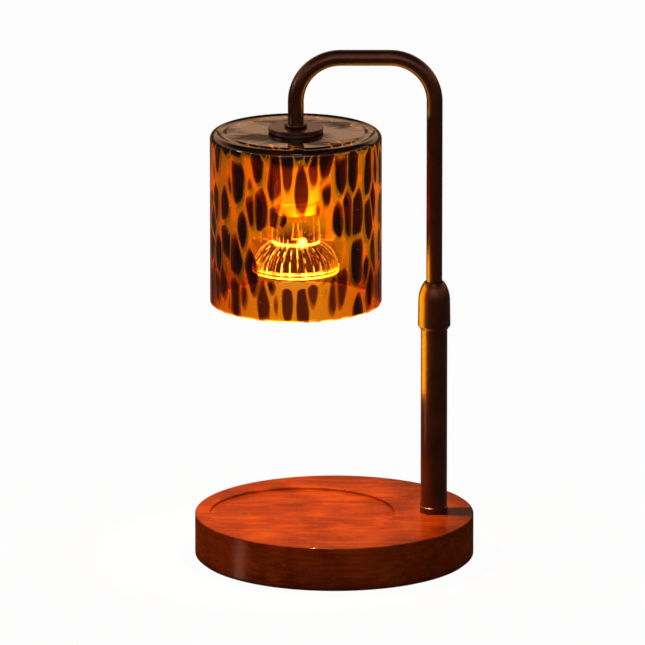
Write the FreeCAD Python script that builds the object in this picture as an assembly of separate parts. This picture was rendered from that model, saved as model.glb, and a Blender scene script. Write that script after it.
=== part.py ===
import FreeCAD, Part
import math
import os

# Candle warmer lamp: a round wooden plinth with a shallow seat for a candle jar, a telescopic
# gooseneck pole clamped by a dome-topped collar, and a glass shade that hangs over the jar round
# a twist-lock reflector bulb.
# Millimetres, +Z up. The origin is the centre of the plinth's underside, on the surface it stands
# on. The pole stands to the right of the origin, at +X, and the shade hangs to the left of it.

# ---------------------------------------------------------------- clearances
FIT = 0.05            # radial play of a pressed, threaded or sliding fit
MOVING_GAP = 0.3      # air between faces that move past each other
OVERCUT = 1.0         # how far a cutter runs past the face it opens

# ---------------------------------------------------------------- plinth
BASE_DIA = 163.0
WOOD_THICK = 24.8
BASE_EDGE_ROUND = 0.8
PAD_THICK = 1.2
PAD_INSET = 2.0       # how far the pad stays inside the plinth's edge
SEAT_DIA = 108.0      # shallow round seat for the jar
SEAT_DEPTH = 1.5
SEAT_X = -18.8
SEAT_EDGE_ROUND = 0.4
NUT_POCKET_DIA = 30.0
NUT_POCKET_DEPTH = 13.0
CABLE_SLOT_WIDTH = 8.0
CABLE_SLOT_DEPTH = 9.0
CABLE_SLOT_END = 60.0  # where the slot meets the rear hole, behind the centre
CORD_HOLE_DIA = 8.0
CORD_HOLE_HEIGHT = 7.5  # of the hole's axis above the wood's underside

# ---------------------------------------------------------------- cord grommet
GROMMET_FLANGE_DIA = 12.0
GROMMET_FLANGE = 1.5
GROMMET_SINK = 0.5    # how deep the flange's outer face lies in the plinth's side
GROMMET_BODY = 8.0
GROMMET_BORE = 5.6

# ---------------------------------------------------------------- pole
POLE_INSET = 23.3     # of the pole's axis from the plinth's right end
OUTER_OD = 15.5
OUTER_WALL = 1.2
OUTER_LENGTH = 119.0
FERRULE_DIA = 16.3
FERRULE_HEIGHT = 4.0
FERRULE_CHAMFER = 0.5
FERRULE_SPIGOT = 14.0
FOOT_THREAD = 10.0
FOOT_BORE = 7.0
FOOT_WASHER_DIA = 24.0
FOOT_WASHER_THICK = 1.6
FOOT_NUT_FLATS = 16.0
FOOT_NUT_THICK = 5.0
FOOT_THREAD_SHOWN = 2.0  # thread past the nut
FOOT_THREAD_ENGAGED = 12.0

# ---------------------------------------------------------------- height lock
GUIDE_SPIGOT = 10.0
GUIDE_FLANGE = 1.2
GUIDE_THREAD_DIA = 14.8
GUIDE_THREAD_LENGTH = 4.8
COLLAR_FOOT_DIA = 19.1
COLLAR_DOME_DIA = 18.6
COLLAR_SKIRT = 12.2   # how far the collar reaches down over the outer tube
COLLAR_CHAMFER = 1.5
COLLAR_CHAMFER_HEIGHT = 2.1
COLLAR_DOME_START = 4.4  # of the dome above the outer tube's end
COLLAR_DOME_RISE = 14.6  # full half height of the ellipse that the dome follows
COLLAR_MOUTH_GAP = 0.5
COLLAR_MOUTH_CHAMFER = 0.5
SLEEVE_HEIGHT = 6.4
SLEEVE_FOOT_DIA = 13.6
SLEEVE_TOP_DIA = 11.2
SLEEVE_SLIT = 1.4

# ---------------------------------------------------------------- gooseneck arm
ARM_OD = 9.3
ARM_WALL = 0.65
ARM_REACH = 80.6      # from the pole's axis to the shade's axis
BEND_RADIUS = 26.0    # of the tube's centre line
BAR_ABOVE_TUBE = 149.8  # from the outer tube's end to the centre line of the top bar
ARM_DROP = 38.7       # from the top bar's centre line down to the arm's free end
LOWERING = 45.0       # travel of the arm down from where it is drawn
RAISING = 35.0        # travel up
BUSH_LIP = 1.5        # slide bush under the arm's end
BUSH_BORE = 7.0

# ---------------------------------------------------------------- shade and its fastening
BEAD_DIA = 13.4
BEAD_HEIGHT = 2.4
DISC_DIA = 32.0
DISC_THICK = 2.2
DISC_EDGE_ROUND = 0.6
GASKET_DIA = 28.0
GASKET_THICK = 0.8
SHADE_DIA = 100.0
SHADE_HEIGHT = 102.1
SHADE_WALL = 3.0
SHOULDER_RADIUS = 4.0
GROOVE_WIDTH = 6.0    # shallow ring in the shade's top, next to the shoulder
GROOVE_DEPTH = 0.9
SHADE_HOLE_DIA = 12.0
NIPPLE_DIA = 7.9
NIPPLE_BORE = 5.5
NIPPLE_ENGAGED = 11.0  # length held inside the arm's end
SHADE_WASHER_DIA = 24.0
SHADE_WASHER_THICK = 1.2
SHADE_NUT_FLATS = 13.0
SHADE_NUT_THICK = 4.0

# ---------------------------------------------------------------- lamp holder
HOLDER_BELOW_NUT = 7.8
CAP_DIA = 29.2
CAP_THICK = 1.0
CAP_BOSS_DIA = 12.0
CAP_BOSS_HEIGHT = 4.0
HOLDER_DIA = 27.7
HOLDER_HEIGHT = 23.2
HOLDER_ROUND = 1.6
CHAMBER_WIDTH = 7.0
CHAMBER_REACH = 9.5   # of a terminal chamber's outer wall from the holder's axis
TROUGH_DEPTH = 3.0
SCREW_SPAN = 19.0     # between the two screws that hold the cap
SCREW_DIA = 3.0
SCREW_LENGTH = 9.0
SCREW_HEAD_DIA = 5.4
SCREW_HEAD_HEIGHT = 1.8
BLADE_THICK = 0.5
BLADE_WIDTH = 5.0
BLADE_TAIL = 12.0

# ---------------------------------------------------------------- twist-lock bulb
PIN_SPAN = 10.0
PIN_DIA = 3.0
PIN_STEM = 4.7
PIN_HEAD_DIA = 5.0
PIN_HEAD = 2.3
TWIST = 25.0          # degrees from locked to released
BULB_BASE_DIA = 25.0
BULB_BASE_HEIGHT = 6.4
BULB_BASE_CHAMFER = 0.6
CAPSULE_SEAT_DIA = 14.0
CAPSULE_SEAT_HEIGHT = 5.0
NECK_HEIGHT = 17.5
NECK_BULGE_DIA = 28.0
NECK_BULGE_DROP = 13.5  # of the widest place below the base
NECK_SWELL = 0.45     # how far the neck's side swells past a straight cone
WAIST_DIA = 25.6
BELL_HEIGHT = 13.3
RIM_DIA = 50.4
RIM_HEIGHT = 4.7
RIM_ROUND = 0.9
RIM_GROOVE = 1.0      # width of the groove between the rim's two beads
RIM_GROOVE_DEPTH = 0.35
BELL_SAG = 2.5        # how far the bell swells past a straight cone
GLASS_WALL = 1.8
RIB_COUNT = 32
RIB_HEIGHT = 0.55
LENS_THICK = 2.2
LENS_LEDGE = 1.1
CAPSULE_DIA = 9.0
CAPSULE_LENGTH = 20.0
CAPSULE_WALL = 0.9
COIL_DIA = 1.6
COIL_LENGTH = 5.0
LEAD_DIA = 0.5

# ---------------------------------------------------------------- worked out from the above
POLE_X = BASE_DIA / 2 - POLE_INSET
WOOD_LOW = PAD_THICK
WOOD_TOP = WOOD_LOW + WOOD_THICK
FERRULE_TOP = WOOD_TOP + FERRULE_HEIGHT
SPIGOT_TOP = FERRULE_TOP + FERRULE_SPIGOT
TUBE_TOP = FERRULE_TOP + OUTER_LENGTH
OUTER_ID = OUTER_OD - 2 * OUTER_WALL
POCKET_CEILING = WOOD_LOW + NUT_POCKET_DEPTH
GUIDE_FOOT = TUBE_TOP - GUIDE_SPIGOT
GUIDE_TOP = TUBE_TOP + GUIDE_FLANGE + GUIDE_THREAD_LENGTH
COLLAR_FOOT = TUBE_TOP - COLLAR_SKIRT
SLEEVE_FOOT = GUIDE_TOP + MOVING_GAP
SLEEVE_TOP = SLEEVE_FOOT + SLEEVE_HEIGHT
ARM_ID = ARM_OD - 2 * ARM_WALL
ARM_FOOT = SPIGOT_TOP + MOVING_GAP + LOWERING + BUSH_LIP
BUSH_TOP = GUIDE_FOOT - MOVING_GAP - RAISING
BAR_HEIGHT = TUBE_TOP + BAR_ABOVE_TUBE
ARM_END = BAR_HEIGHT - ARM_DROP
HEAD_X = POLE_X - ARM_REACH
DISC_TOP = ARM_END - BEAD_HEIGHT
DISC_FOOT = DISC_TOP - DISC_THICK
SHADE_TOP = DISC_FOOT - GASKET_THICK
SHADE_FOOT = SHADE_TOP - SHADE_HEIGHT
SHADE_CEILING = SHADE_TOP - SHADE_WALL
LOWER_GASKET_FOOT = SHADE_CEILING - GASKET_THICK
SHADE_WASHER_FOOT = LOWER_GASKET_FOOT - SHADE_WASHER_THICK
SHADE_NUT_FOOT = SHADE_WASHER_FOOT - SHADE_NUT_THICK
CAP_TOP = SHADE_NUT_FOOT - HOLDER_BELOW_NUT
HOLDER_TOP = CAP_TOP - CAP_THICK
HOLDER_FOOT = HOLDER_TOP - HOLDER_HEIGHT
HOLDER_FLOOR = HOLDER_FOOT + PIN_STEM - 2 * MOVING_GAP
BULB_TOP = HOLDER_FOOT - MOVING_GAP
PIN_HEAD_FOOT = BULB_TOP + PIN_STEM
PIN_TOP = PIN_HEAD_FOOT + PIN_HEAD
BLADE_FOOT = PIN_TOP + MOVING_GAP
BULB_BASE_FOOT = BULB_TOP - BULB_BASE_HEIGHT
NECK_FOOT = BULB_BASE_FOOT - NECK_HEIGHT
BELL_FOOT = NECK_FOOT - BELL_HEIGHT
RIM_FOOT = BELL_FOOT - RIM_HEIGHT

UP = FreeCAD.Vector(0, 0, 1)


# ---------------------------------------------------------------- shared shapes
def vec(x, y, z):
    """A point or direction."""
    return FreeCAD.Vector(x, y, z)


def disc(diameter, low, high, x=0.0, y=0.0):
    """An upright cylinder between two heights."""
    return Part.makeCylinder(diameter / 2, high - low, vec(x, y, low), UP)


def tube(outer, inner, low, high, x=0.0):
    """An upright pipe between two heights."""
    bore = disc(inner, low - OVERCUT, high + OVERCUT, x)
    return disc(outer, low, high, x).cut(bore)


def box(low_corner, high_corner):
    """A block between two opposite corners."""
    size = high_corner - low_corner
    return Part.makeBox(size.x, size.y, size.z, low_corner)


def line(start, end):
    """A straight edge of an outline in (radius, height)."""
    return Part.LineSegment(vec(start[0], 0, start[1]), vec(end[0], 0, end[1])).toShape()


def arc(start, middle, end):
    """A round edge of an outline through three (radius, height) points."""
    points = [vec(radius, 0, height) for radius, height in (start, middle, end)]
    return Part.Arc(*points).toShape()


def quarter(start, end, corner):
    """A quarter-round edge between two points, which rounds off the corner outside them."""
    centre = (start[0] + end[0] - corner[0], start[1] + end[1] - corner[1])
    reach = math.sqrt(0.5)
    middle = (centre[0] + (corner[0] - centre[0]) * reach,
              centre[1] + (corner[1] - centre[1]) * reach)
    return arc(start, middle, end)


def turned_edges(edges, x=0.0, angle=360.0):
    """Turn a closed outline of edges about the upright axis at x."""
    face = Part.Face(Part.Wire(Part.__sortEdges__(edges)))
    solid = face.revolve(vec(0, 0, 0), UP, angle)
    solid.translate(vec(x, 0, 0))
    return solid


def turned(corners, x=0.0):
    """Turn a closed outline of straight lines about the upright axis at x."""
    closed = list(corners) + [corners[0]]
    edges = [line(start, end) for start, end in zip(closed, closed[1:])]
    return turned_edges(edges, x)


def ring_edges(solid, diameter, height):
    """The circular edges of a given diameter at a given height."""
    def matches(edge):
        curve = edge.Curve
        return (isinstance(curve, Part.Circle)
                and abs(curve.Radius - diameter / 2) < FIT / 2
                and abs(curve.Center.z - height) < FIT / 2)
    return [edge for edge in solid.Edges if matches(edge)]


def hex_nut(flats, bore, low, high, x):
    """A hexagon nut with both faces chamfered at its corners."""
    corner_radius = flats / math.sqrt(3)
    corners = [vec(x + corner_radius * math.cos(math.radians(60 * turn)),
                   corner_radius * math.sin(math.radians(60 * turn)), low) for turn in range(7)]
    prism = Part.Face(Part.makePolygon(corners)).extrude(vec(0, 0, high - low))
    bevel = corner_radius - flats / 2
    envelope = turned([(0, low), (flats / 2, low), (corner_radius, low + bevel / 2),
                       (corner_radius, high - bevel / 2), (flats / 2, high), (0, high)], x)
    return prism.common(envelope).cut(disc(bore, low - OVERCUT, high + OVERCUT, x))


# ---------------------------------------------------------------- plinth
def make_base_block():
    """The turned plinth, with the jar's seat above and the nut pocket and cable way below."""
    block = disc(BASE_DIA, WOOD_LOW, WOOD_TOP)
    rims = ring_edges(block, BASE_DIA, WOOD_LOW) + ring_edges(block, BASE_DIA, WOOD_TOP)
    block = block.makeFillet(BASE_EDGE_ROUND, rims)
    block = block.cut(disc(SEAT_DIA, WOOD_TOP - SEAT_DEPTH, WOOD_TOP + OVERCUT, SEAT_X))
    block = block.makeFillet(SEAT_EDGE_ROUND, ring_edges(block, SEAT_DIA, WOOD_TOP))
    block = block.cut(disc(NUT_POCKET_DIA, WOOD_LOW - OVERCUT, POCKET_CEILING, POLE_X))
    block = block.cut(disc(FOOT_THREAD + 2 * MOVING_GAP, WOOD_LOW, WOOD_TOP + OVERCUT, POLE_X))
    return block.cut(make_cable_way())


def make_cable_way():
    """The routed slot from the nut pocket to the rear, and the stepped hole that it leads to."""
    run = vec(-POLE_X, CABLE_SLOT_END, 0)
    slot = Part.makeBox(run.Length, CABLE_SLOT_WIDTH, CABLE_SLOT_DEPTH + OVERCUT,
                        vec(0, -CABLE_SLOT_WIDTH / 2, WOOD_LOW - OVERCUT))
    slot.rotate(vec(0, 0, 0), UP, math.degrees(math.atan2(run.y, run.x)))
    slot.translate(vec(POLE_X, 0, 0))
    end = Part.makeCylinder(CABLE_SLOT_WIDTH / 2, CABLE_SLOT_DEPTH + OVERCUT,
                            vec(0, CABLE_SLOT_END, WOOD_LOW - OVERCUT), UP)
    rear = BASE_DIA / 2
    height = WOOD_LOW + CORD_HOLE_HEIGHT
    hole = Part.makeCylinder(CORD_HOLE_DIA / 2, rear - CABLE_SLOT_END + OVERCUT,
                             vec(0, CABLE_SLOT_END, height), vec(0, 1, 0))
    step_depth = GROMMET_SINK + GROMMET_FLANGE
    step = Part.makeCylinder(GROMMET_FLANGE_DIA / 2 + FIT, step_depth + OVERCUT,
                             vec(0, rear - step_depth, height), vec(0, 1, 0))
    return slot.multiFuse([end, hole, step])


def make_anti_slip_pad():
    """The soft sheet that closes the underside and stands on the table."""
    return disc(BASE_DIA - 2 * PAD_INSET, 0, PAD_THICK)


def make_cord_grommet():
    """The flanged bush in the rear of the plinth that the cord would come out of."""
    height = WOOD_LOW + CORD_HOLE_HEIGHT
    face = BASE_DIA / 2 - GROMMET_SINK
    flange = Part.makeCylinder(GROMMET_FLANGE_DIA / 2, GROMMET_FLANGE,
                               vec(0, face, height), vec(0, -1, 0))
    body = Part.makeCylinder(CORD_HOLE_DIA / 2 - FIT, GROMMET_BODY + GROMMET_FLANGE,
                             vec(0, face, height), vec(0, -1, 0))
    bore = Part.makeCylinder(GROMMET_BORE / 2, GROMMET_BODY + GROMMET_FLANGE + 2 * OVERCUT,
                             vec(0, face + OVERCUT, height), vec(0, -1, 0))
    return flange.fuse(body).removeSplitter().cut(bore)


# ---------------------------------------------------------------- pole
def make_foot_ferrule():
    """The turned foot: a visible ring on the wood and a spigot inside the outer tube."""
    ring = FERRULE_DIA / 2
    spigot = OUTER_ID / 2 - FIT
    bore = FOOT_THREAD / 2 + FIT
    return turned([(bore, WOOD_TOP), (ring, WOOD_TOP), (ring, FERRULE_TOP - FERRULE_CHAMFER),
                   (ring - FERRULE_CHAMFER, FERRULE_TOP), (spigot, FERRULE_TOP),
                   (spigot, SPIGOT_TOP), (bore, SPIGOT_TOP)], POLE_X)


def make_foot_nipple():
    """The hollow threaded rod that pulls the pole down onto the plinth."""
    low = POCKET_CEILING - FOOT_WASHER_THICK - FOOT_NUT_THICK - FOOT_THREAD_SHOWN
    return tube(FOOT_THREAD, FOOT_BORE, low, WOOD_TOP + FOOT_THREAD_ENGAGED, POLE_X)


def make_foot_washer():
    """The plain washer in the nut pocket."""
    bore = FOOT_THREAD + 2 * FIT
    return tube(FOOT_WASHER_DIA, bore, POCKET_CEILING - FOOT_WASHER_THICK, POCKET_CEILING, POLE_X)


def make_foot_nut():
    """The hexagon nut that holds the pole to the plinth."""
    high = POCKET_CEILING - FOOT_WASHER_THICK
    return hex_nut(FOOT_NUT_FLATS, FOOT_THREAD + 2 * FIT, high - FOOT_NUT_THICK, high, POLE_X)


def make_outer_tube():
    """The fixed lower tube of the pole."""
    return tube(OUTER_OD, OUTER_ID, FERRULE_TOP, TUBE_TOP, POLE_X)


def make_guide_bush():
    """The bush in the outer tube's end: it guides the arm and carries the collar's thread."""
    bore = ARM_OD / 2 + FIT
    spigot = OUTER_ID / 2 - FIT
    flange_top = TUBE_TOP + GUIDE_FLANGE
    return turned([(bore, GUIDE_FOOT), (spigot, GUIDE_FOOT), (spigot, TUBE_TOP),
                   (OUTER_OD / 2, TUBE_TOP), (OUTER_OD / 2, flange_top),
                   (GUIDE_THREAD_DIA / 2, flange_top), (GUIDE_THREAD_DIA / 2, GUIDE_TOP),
                   (bore, GUIDE_TOP)], POLE_X)


# ---------------------------------------------------------------- height lock
def dome_height(radius):
    """The height of the collar's dome at a radius."""
    share = radius / (COLLAR_DOME_DIA / 2)
    return TUBE_TOP + COLLAR_DOME_START + COLLAR_DOME_RISE * math.sqrt(1 - share * share)


def dome_edge(lip_radius):
    """The elliptical edge of the dome, from its widest ring up to the mouth's lip."""
    centre = vec(0, 0, TUBE_TOP + COLLAR_DOME_START)
    apex = centre + vec(0, 0, COLLAR_DOME_RISE)
    side = centre + vec(COLLAR_DOME_DIA / 2, 0, 0)
    ellipse = Part.Ellipse(apex, side, centre)
    lip = vec(lip_radius, 0, dome_height(lip_radius))
    ends = sorted([ellipse.parameter(side), ellipse.parameter(lip)])
    return Part.ArcOfEllipse(ellipse, *ends).toShape()


def make_lock_collar():
    """The dome-topped nut that squeezes the split sleeve onto the arm."""
    mouth = ARM_OD / 2 + COLLAR_MOUTH_GAP
    skirt = OUTER_OD / 2 + MOVING_GAP
    thread = GUIDE_THREAD_DIA / 2 + FIT
    foot = COLLAR_FOOT_DIA / 2
    thread_low = TUBE_TOP + GUIDE_FLANGE + MOVING_GAP
    cone_low = SLEEVE_FOOT
    cone_foot = min(SLEEVE_FOOT_DIA / 2 + MOVING_GAP, thread)
    cone_top = SLEEVE_TOP_DIA / 2 + MOVING_GAP
    cone_high = SLEEVE_TOP + MOVING_GAP
    lip = mouth + COLLAR_MOUTH_CHAMFER
    lip_height = dome_height(lip)
    outline = [(lip, lip_height), (mouth, lip_height - COLLAR_MOUTH_CHAMFER), (mouth, cone_high),
               (cone_top, cone_high), (cone_foot, cone_low), (thread, cone_low),
               (thread, thread_low), (skirt, thread_low), (skirt, COLLAR_FOOT),
               (foot - COLLAR_CHAMFER, COLLAR_FOOT), (foot, COLLAR_FOOT + COLLAR_CHAMFER_HEIGHT),
               (COLLAR_DOME_DIA / 2, TUBE_TOP + COLLAR_DOME_START)]
    corners = [point for place, point in enumerate(outline) if point != outline[place - 1]]
    edges = [line(start, end) for start, end in zip(corners, corners[1:])]
    return turned_edges(edges + [dome_edge(lip)], POLE_X)


def make_clamp_sleeve():
    """The split nylon cone that grips the arm when the collar is tightened."""
    bore = ARM_OD / 2 + FIT
    cone = turned([(bore, SLEEVE_FOOT), (SLEEVE_FOOT_DIA / 2, SLEEVE_FOOT),
                   (SLEEVE_TOP_DIA / 2, SLEEVE_TOP), (bore, SLEEVE_TOP)], POLE_X)
    slit = box(vec(POLE_X - SLEEVE_SLIT / 2, 0, SLEEVE_FOOT - OVERCUT),
               vec(POLE_X + SLEEVE_SLIT / 2, SLEEVE_FOOT_DIA, SLEEVE_TOP + OVERCUT))
    return cone.cut(slit)


# ---------------------------------------------------------------- gooseneck arm
def arm_path():
    """The arm's centre line: up the pole, over the top bar and down to its free end."""
    bend = BEND_RADIUS
    slack = bend * (1 - math.sqrt(0.5))
    rise = [vec(POLE_X, 0, ARM_FOOT), vec(POLE_X, 0, BAR_HEIGHT - bend)]
    bar = [vec(POLE_X - bend, 0, BAR_HEIGHT), vec(HEAD_X + bend, 0, BAR_HEIGHT)]
    fall = [vec(HEAD_X, 0, BAR_HEIGHT - bend), vec(HEAD_X, 0, ARM_END)]
    first = Part.Arc(rise[1], vec(POLE_X - slack, 0, BAR_HEIGHT - slack), bar[0])
    second = Part.Arc(bar[1], vec(HEAD_X + slack, 0, BAR_HEIGHT - slack), fall[0])
    return Part.Wire([Part.LineSegment(*rise).toShape(), first.toShape(),
                      Part.LineSegment(*bar).toShape(), second.toShape(),
                      Part.LineSegment(*fall).toShape()])


def make_arm_tube():
    """The telescoping upper tube, bent into a gooseneck."""
    path = arm_path()
    walls = []
    for diameter in (ARM_OD, ARM_ID):
        circle = Part.Circle(vec(POLE_X, 0, ARM_FOOT), UP, diameter / 2).toShape()
        walls.append(path.makePipeShell([Part.Wire(circle)], True, True))
    return walls[0].cut(walls[1])


def make_slide_bush():
    """The nylon end bush that centres the arm in the outer tube and stops its travel."""
    lip_low = ARM_FOOT - BUSH_LIP
    outer = OUTER_ID / 2 - MOVING_GAP
    seat = ARM_OD / 2 + FIT
    return turned([(BUSH_BORE / 2, lip_low), (outer, lip_low), (outer, BUSH_TOP),
                   (seat, BUSH_TOP), (seat, ARM_FOOT), (BUSH_BORE / 2, ARM_FOOT)], POLE_X)


# ---------------------------------------------------------------- shade and its fastening
def make_stem_bead():
    """The half-round ring between the arm's end and the shade's disc."""
    bore = NIPPLE_DIA / 2 + FIT
    bulge = BEAD_HEIGHT / 2
    side = BEAD_DIA / 2 - bulge
    edges = [line((bore, DISC_TOP), (side, DISC_TOP)),
             arc((side, DISC_TOP), (side + bulge, DISC_TOP + bulge), (side, ARM_END)),
             line((side, ARM_END), (bore, ARM_END)),
             line((bore, ARM_END), (bore, DISC_TOP))]
    return turned_edges(edges, HEAD_X)


def make_shade_disc():
    """The flat metal disc that presses on the shade's top."""
    plate = disc(DISC_DIA, DISC_FOOT, DISC_TOP, HEAD_X)
    plate = plate.makeFillet(DISC_EDGE_ROUND, ring_edges(plate, DISC_DIA, DISC_TOP))
    return plate.cut(disc(NIPPLE_DIA + 2 * FIT, DISC_FOOT - OVERCUT, DISC_TOP + OVERCUT, HEAD_X))


def make_upper_gasket():
    """The silicone ring between disc and glass."""
    return tube(GASKET_DIA, NIPPLE_DIA + 2 * FIT, SHADE_TOP, DISC_FOOT, HEAD_X)


def make_lower_gasket():
    """The silicone ring under the glass, with a hub that centres the glass on the nipple."""
    bore = NIPPLE_DIA / 2 + FIT
    hub = SHADE_HOLE_DIA / 2 - FIT
    hub_top = SHADE_TOP - FIT
    rim = GASKET_DIA / 2
    return turned([(bore, LOWER_GASKET_FOOT), (rim, LOWER_GASKET_FOOT), (rim, SHADE_CEILING),
                   (hub, SHADE_CEILING), (hub, hub_top), (bore, hub_top)], HEAD_X)


def make_shade_glass():
    """The glass cylinder, closed above by a rounded shoulder and a shallow ring groove."""
    out = SHADE_DIA / 2
    inner = out - SHADE_WALL
    lip = SHADE_WALL / 2
    shoulder = out - SHOULDER_RADIUS
    plateau = shoulder - GROOVE_WIDTH
    inner_round = SHOULDER_RADIUS / 2
    hole = SHADE_HOLE_DIA / 2
    spring = SHADE_TOP - SHOULDER_RADIUS
    edges = [
        arc((inner, SHADE_FOOT + lip), (inner + lip, SHADE_FOOT), (out, SHADE_FOOT + lip)),
        line((out, SHADE_FOOT + lip), (out, spring)),
        quarter((out, spring), (shoulder, SHADE_TOP), (out, SHADE_TOP)),
        arc((shoulder, SHADE_TOP), ((shoulder + plateau) / 2, SHADE_TOP - GROOVE_DEPTH),
            (plateau, SHADE_TOP)),
        line((plateau, SHADE_TOP), (hole, SHADE_TOP)),
        line((hole, SHADE_TOP), (hole, SHADE_CEILING)),
        line((hole, SHADE_CEILING), (inner - inner_round, SHADE_CEILING)),
        quarter((inner - inner_round, SHADE_CEILING), (inner, SHADE_CEILING - inner_round),
                (inner, SHADE_CEILING)),
        line((inner, SHADE_CEILING - inner_round), (inner, SHADE_FOOT + lip)),
    ]
    return turned_edges(edges, HEAD_X)


def make_hanger_nipple():
    """The hollow threaded rod fixed in the arm's end that carries shade and lamp holder."""
    return tube(NIPPLE_DIA, NIPPLE_BORE, HOLDER_TOP, ARM_END + NIPPLE_ENGAGED, HEAD_X)


def make_shade_washer():
    """The plain washer under the lower gasket."""
    return tube(SHADE_WASHER_DIA, NIPPLE_DIA + 2 * FIT, SHADE_WASHER_FOOT, LOWER_GASKET_FOOT,
                HEAD_X)


def make_shade_nut():
    """The nut that clamps the glass between its gaskets."""
    return hex_nut(SHADE_NUT_FLATS, NIPPLE_DIA + 2 * FIT, SHADE_NUT_FOOT, SHADE_WASHER_FOOT,
                   HEAD_X)


# ---------------------------------------------------------------- lamp holder
def screw_places():
    """The two points, in front of and behind the axis, where screws hold the cap."""
    return [(HEAD_X, side * SCREW_SPAN / 2) for side in (-1, 1)]


def make_holder_cap():
    """The steel plate on the lamp holder, with the threaded boss that the nipple screws into."""
    boss_low = CAP_TOP + CAP_BOSS_HEIGHT
    plate = disc(CAP_DIA, HOLDER_TOP, CAP_TOP, HEAD_X)
    plate = plate.fuse(disc(CAP_BOSS_DIA, CAP_TOP, boss_low, HEAD_X))
    bores = [disc(NIPPLE_DIA + 2 * FIT, HOLDER_TOP - OVERCUT, boss_low + OVERCUT, HEAD_X)]
    for x, y in screw_places():
        bores.append(disc(SCREW_DIA + 2 * FIT, HOLDER_TOP - OVERCUT, CAP_TOP + OVERCUT, x, y))
    return plate.cut(bores)


def make_holder_screws():
    """The two screws that hold the cap on the ceramic."""
    screws = []
    for x, y in screw_places():
        shank = disc(SCREW_DIA, CAP_TOP - SCREW_LENGTH, CAP_TOP, x, y)
        head = disc(SCREW_HEAD_DIA, CAP_TOP, CAP_TOP + SCREW_HEAD_HEIGHT, x, y)
        rim = ring_edges(head, SCREW_HEAD_DIA, CAP_TOP + SCREW_HEAD_HEIGHT)
        screws.append(head.makeFillet(SCREW_HEAD_HEIGHT / 2, rim).fuse(shank))
    return Part.makeCompound(screws)


def pin_place(radius, turn):
    """A point in the holder's plan, at a radius and a turn from the first pin's locked place."""
    angle = math.radians(turn)
    return vec(HEAD_X + radius * math.cos(angle), radius * math.sin(angle), 0)


def swept_slot(width, low, high, locked):
    """The curved slot that a pin sweeps from its released place to its locked turn."""
    ring = PIN_SPAN / 2
    reach = width / 2
    turns = (locked - TWIST, locked - TWIST / 2, locked)
    outer = [pin_place(ring + reach, turn) for turn in turns]
    inner = [pin_place(ring - reach, turn) for turn in turns]
    along = [pin_place(reach, turn + 90) - pin_place(0, turn) for turn in turns]
    first_end = pin_place(ring, turns[0]) - along[0]
    last_end = pin_place(ring, turns[2]) + along[2]
    arcs = [Part.Arc(*outer), Part.Arc(outer[2], last_end, inner[2]),
            Part.Arc(*inner), Part.Arc(inner[0], first_end, outer[0])]
    face = Part.Face(Part.Wire(Part.__sortEdges__([curve.toShape() for curve in arcs])))
    face.translate(vec(0, 0, low))
    return face.extrude(vec(0, 0, high - low))


def make_lamp_holder():
    """The ceramic holder: keyhole slots below, contact chambers and a wire trough above."""
    body = disc(HOLDER_DIA, HOLDER_FOOT, HOLDER_TOP, HEAD_X)
    body = body.makeFillet(HOLDER_ROUND, ring_edges(body, HOLDER_DIA, HOLDER_FOOT))
    stem_width = PIN_DIA + 2 * MOVING_GAP
    entry_width = PIN_HEAD_DIA + 2 * MOVING_GAP
    sweep_width = entry_width + 2 * MOVING_GAP
    near = (PIN_SPAN - entry_width) / 2
    half = CHAMBER_WIDTH / 2
    cuts = []
    for side, locked in ((1, 0), (-1, 180)):
        entry = pin_place(PIN_SPAN / 2, locked - TWIST)
        cuts.append(swept_slot(stem_width, HOLDER_FOOT - OVERCUT, HOLDER_FLOOR + FIT, locked))
        cuts.append(disc(entry_width, HOLDER_FOOT - OVERCUT, HOLDER_FLOOR + FIT, entry.x, entry.y))
        cuts.append(swept_slot(sweep_width, HOLDER_FLOOR, BLADE_FOOT, locked))
        ends = sorted([HEAD_X + side * near, HEAD_X + side * CHAMBER_REACH])
        cuts.append(box(vec(ends[0], -half, BLADE_FOOT - FIT),
                        vec(ends[1], half, HOLDER_TOP + OVERCUT)))
    cuts.append(box(vec(HEAD_X - near - OVERCUT, -half, HOLDER_TOP - TROUGH_DEPTH),
                    vec(HEAD_X + near + OVERCUT, half, HOLDER_TOP + OVERCUT)))
    for x, y in screw_places():
        cuts.append(disc(SCREW_DIA + 2 * FIT, CAP_TOP - SCREW_LENGTH - MOVING_GAP,
                         HOLDER_TOP + OVERCUT, x, y))
    for cutter in cuts:
        body = body.cut(cutter)
    return body


def make_contact(side):
    """A bronze blade: a leaf over one pin's head and a tail up the chamber's outer wall."""
    half = BLADE_WIDTH / 2
    wall = side * CHAMBER_REACH
    near = side * (PIN_SPAN / 2 - PIN_HEAD_DIA / 2)
    ends = sorted([HEAD_X + near, HEAD_X + wall])
    leaf = box(vec(ends[0], -half, BLADE_FOOT), vec(ends[1], half, BLADE_FOOT + BLADE_THICK))
    ends = sorted([HEAD_X + wall, HEAD_X + wall - side * BLADE_THICK])
    tail = box(vec(ends[0], -half, BLADE_FOOT), vec(ends[1], half, BLADE_FOOT + BLADE_TAIL))
    return leaf.fuse(tail).removeSplitter()


# ---------------------------------------------------------------- twist-lock bulb
def make_bulb_base():
    """The white end of the bulb, with the seat for the capsule's pinch inside the neck."""
    outer = disc(BULB_BASE_DIA, BULB_BASE_FOOT, BULB_TOP, HEAD_X)
    outer = outer.makeChamfer(BULB_BASE_CHAMFER, ring_edges(outer, BULB_BASE_DIA, BULB_TOP))
    seat = disc(CAPSULE_SEAT_DIA, BULB_BASE_FOOT - CAPSULE_SEAT_HEIGHT, BULB_BASE_FOOT, HEAD_X)
    return outer.fuse(seat)


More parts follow.
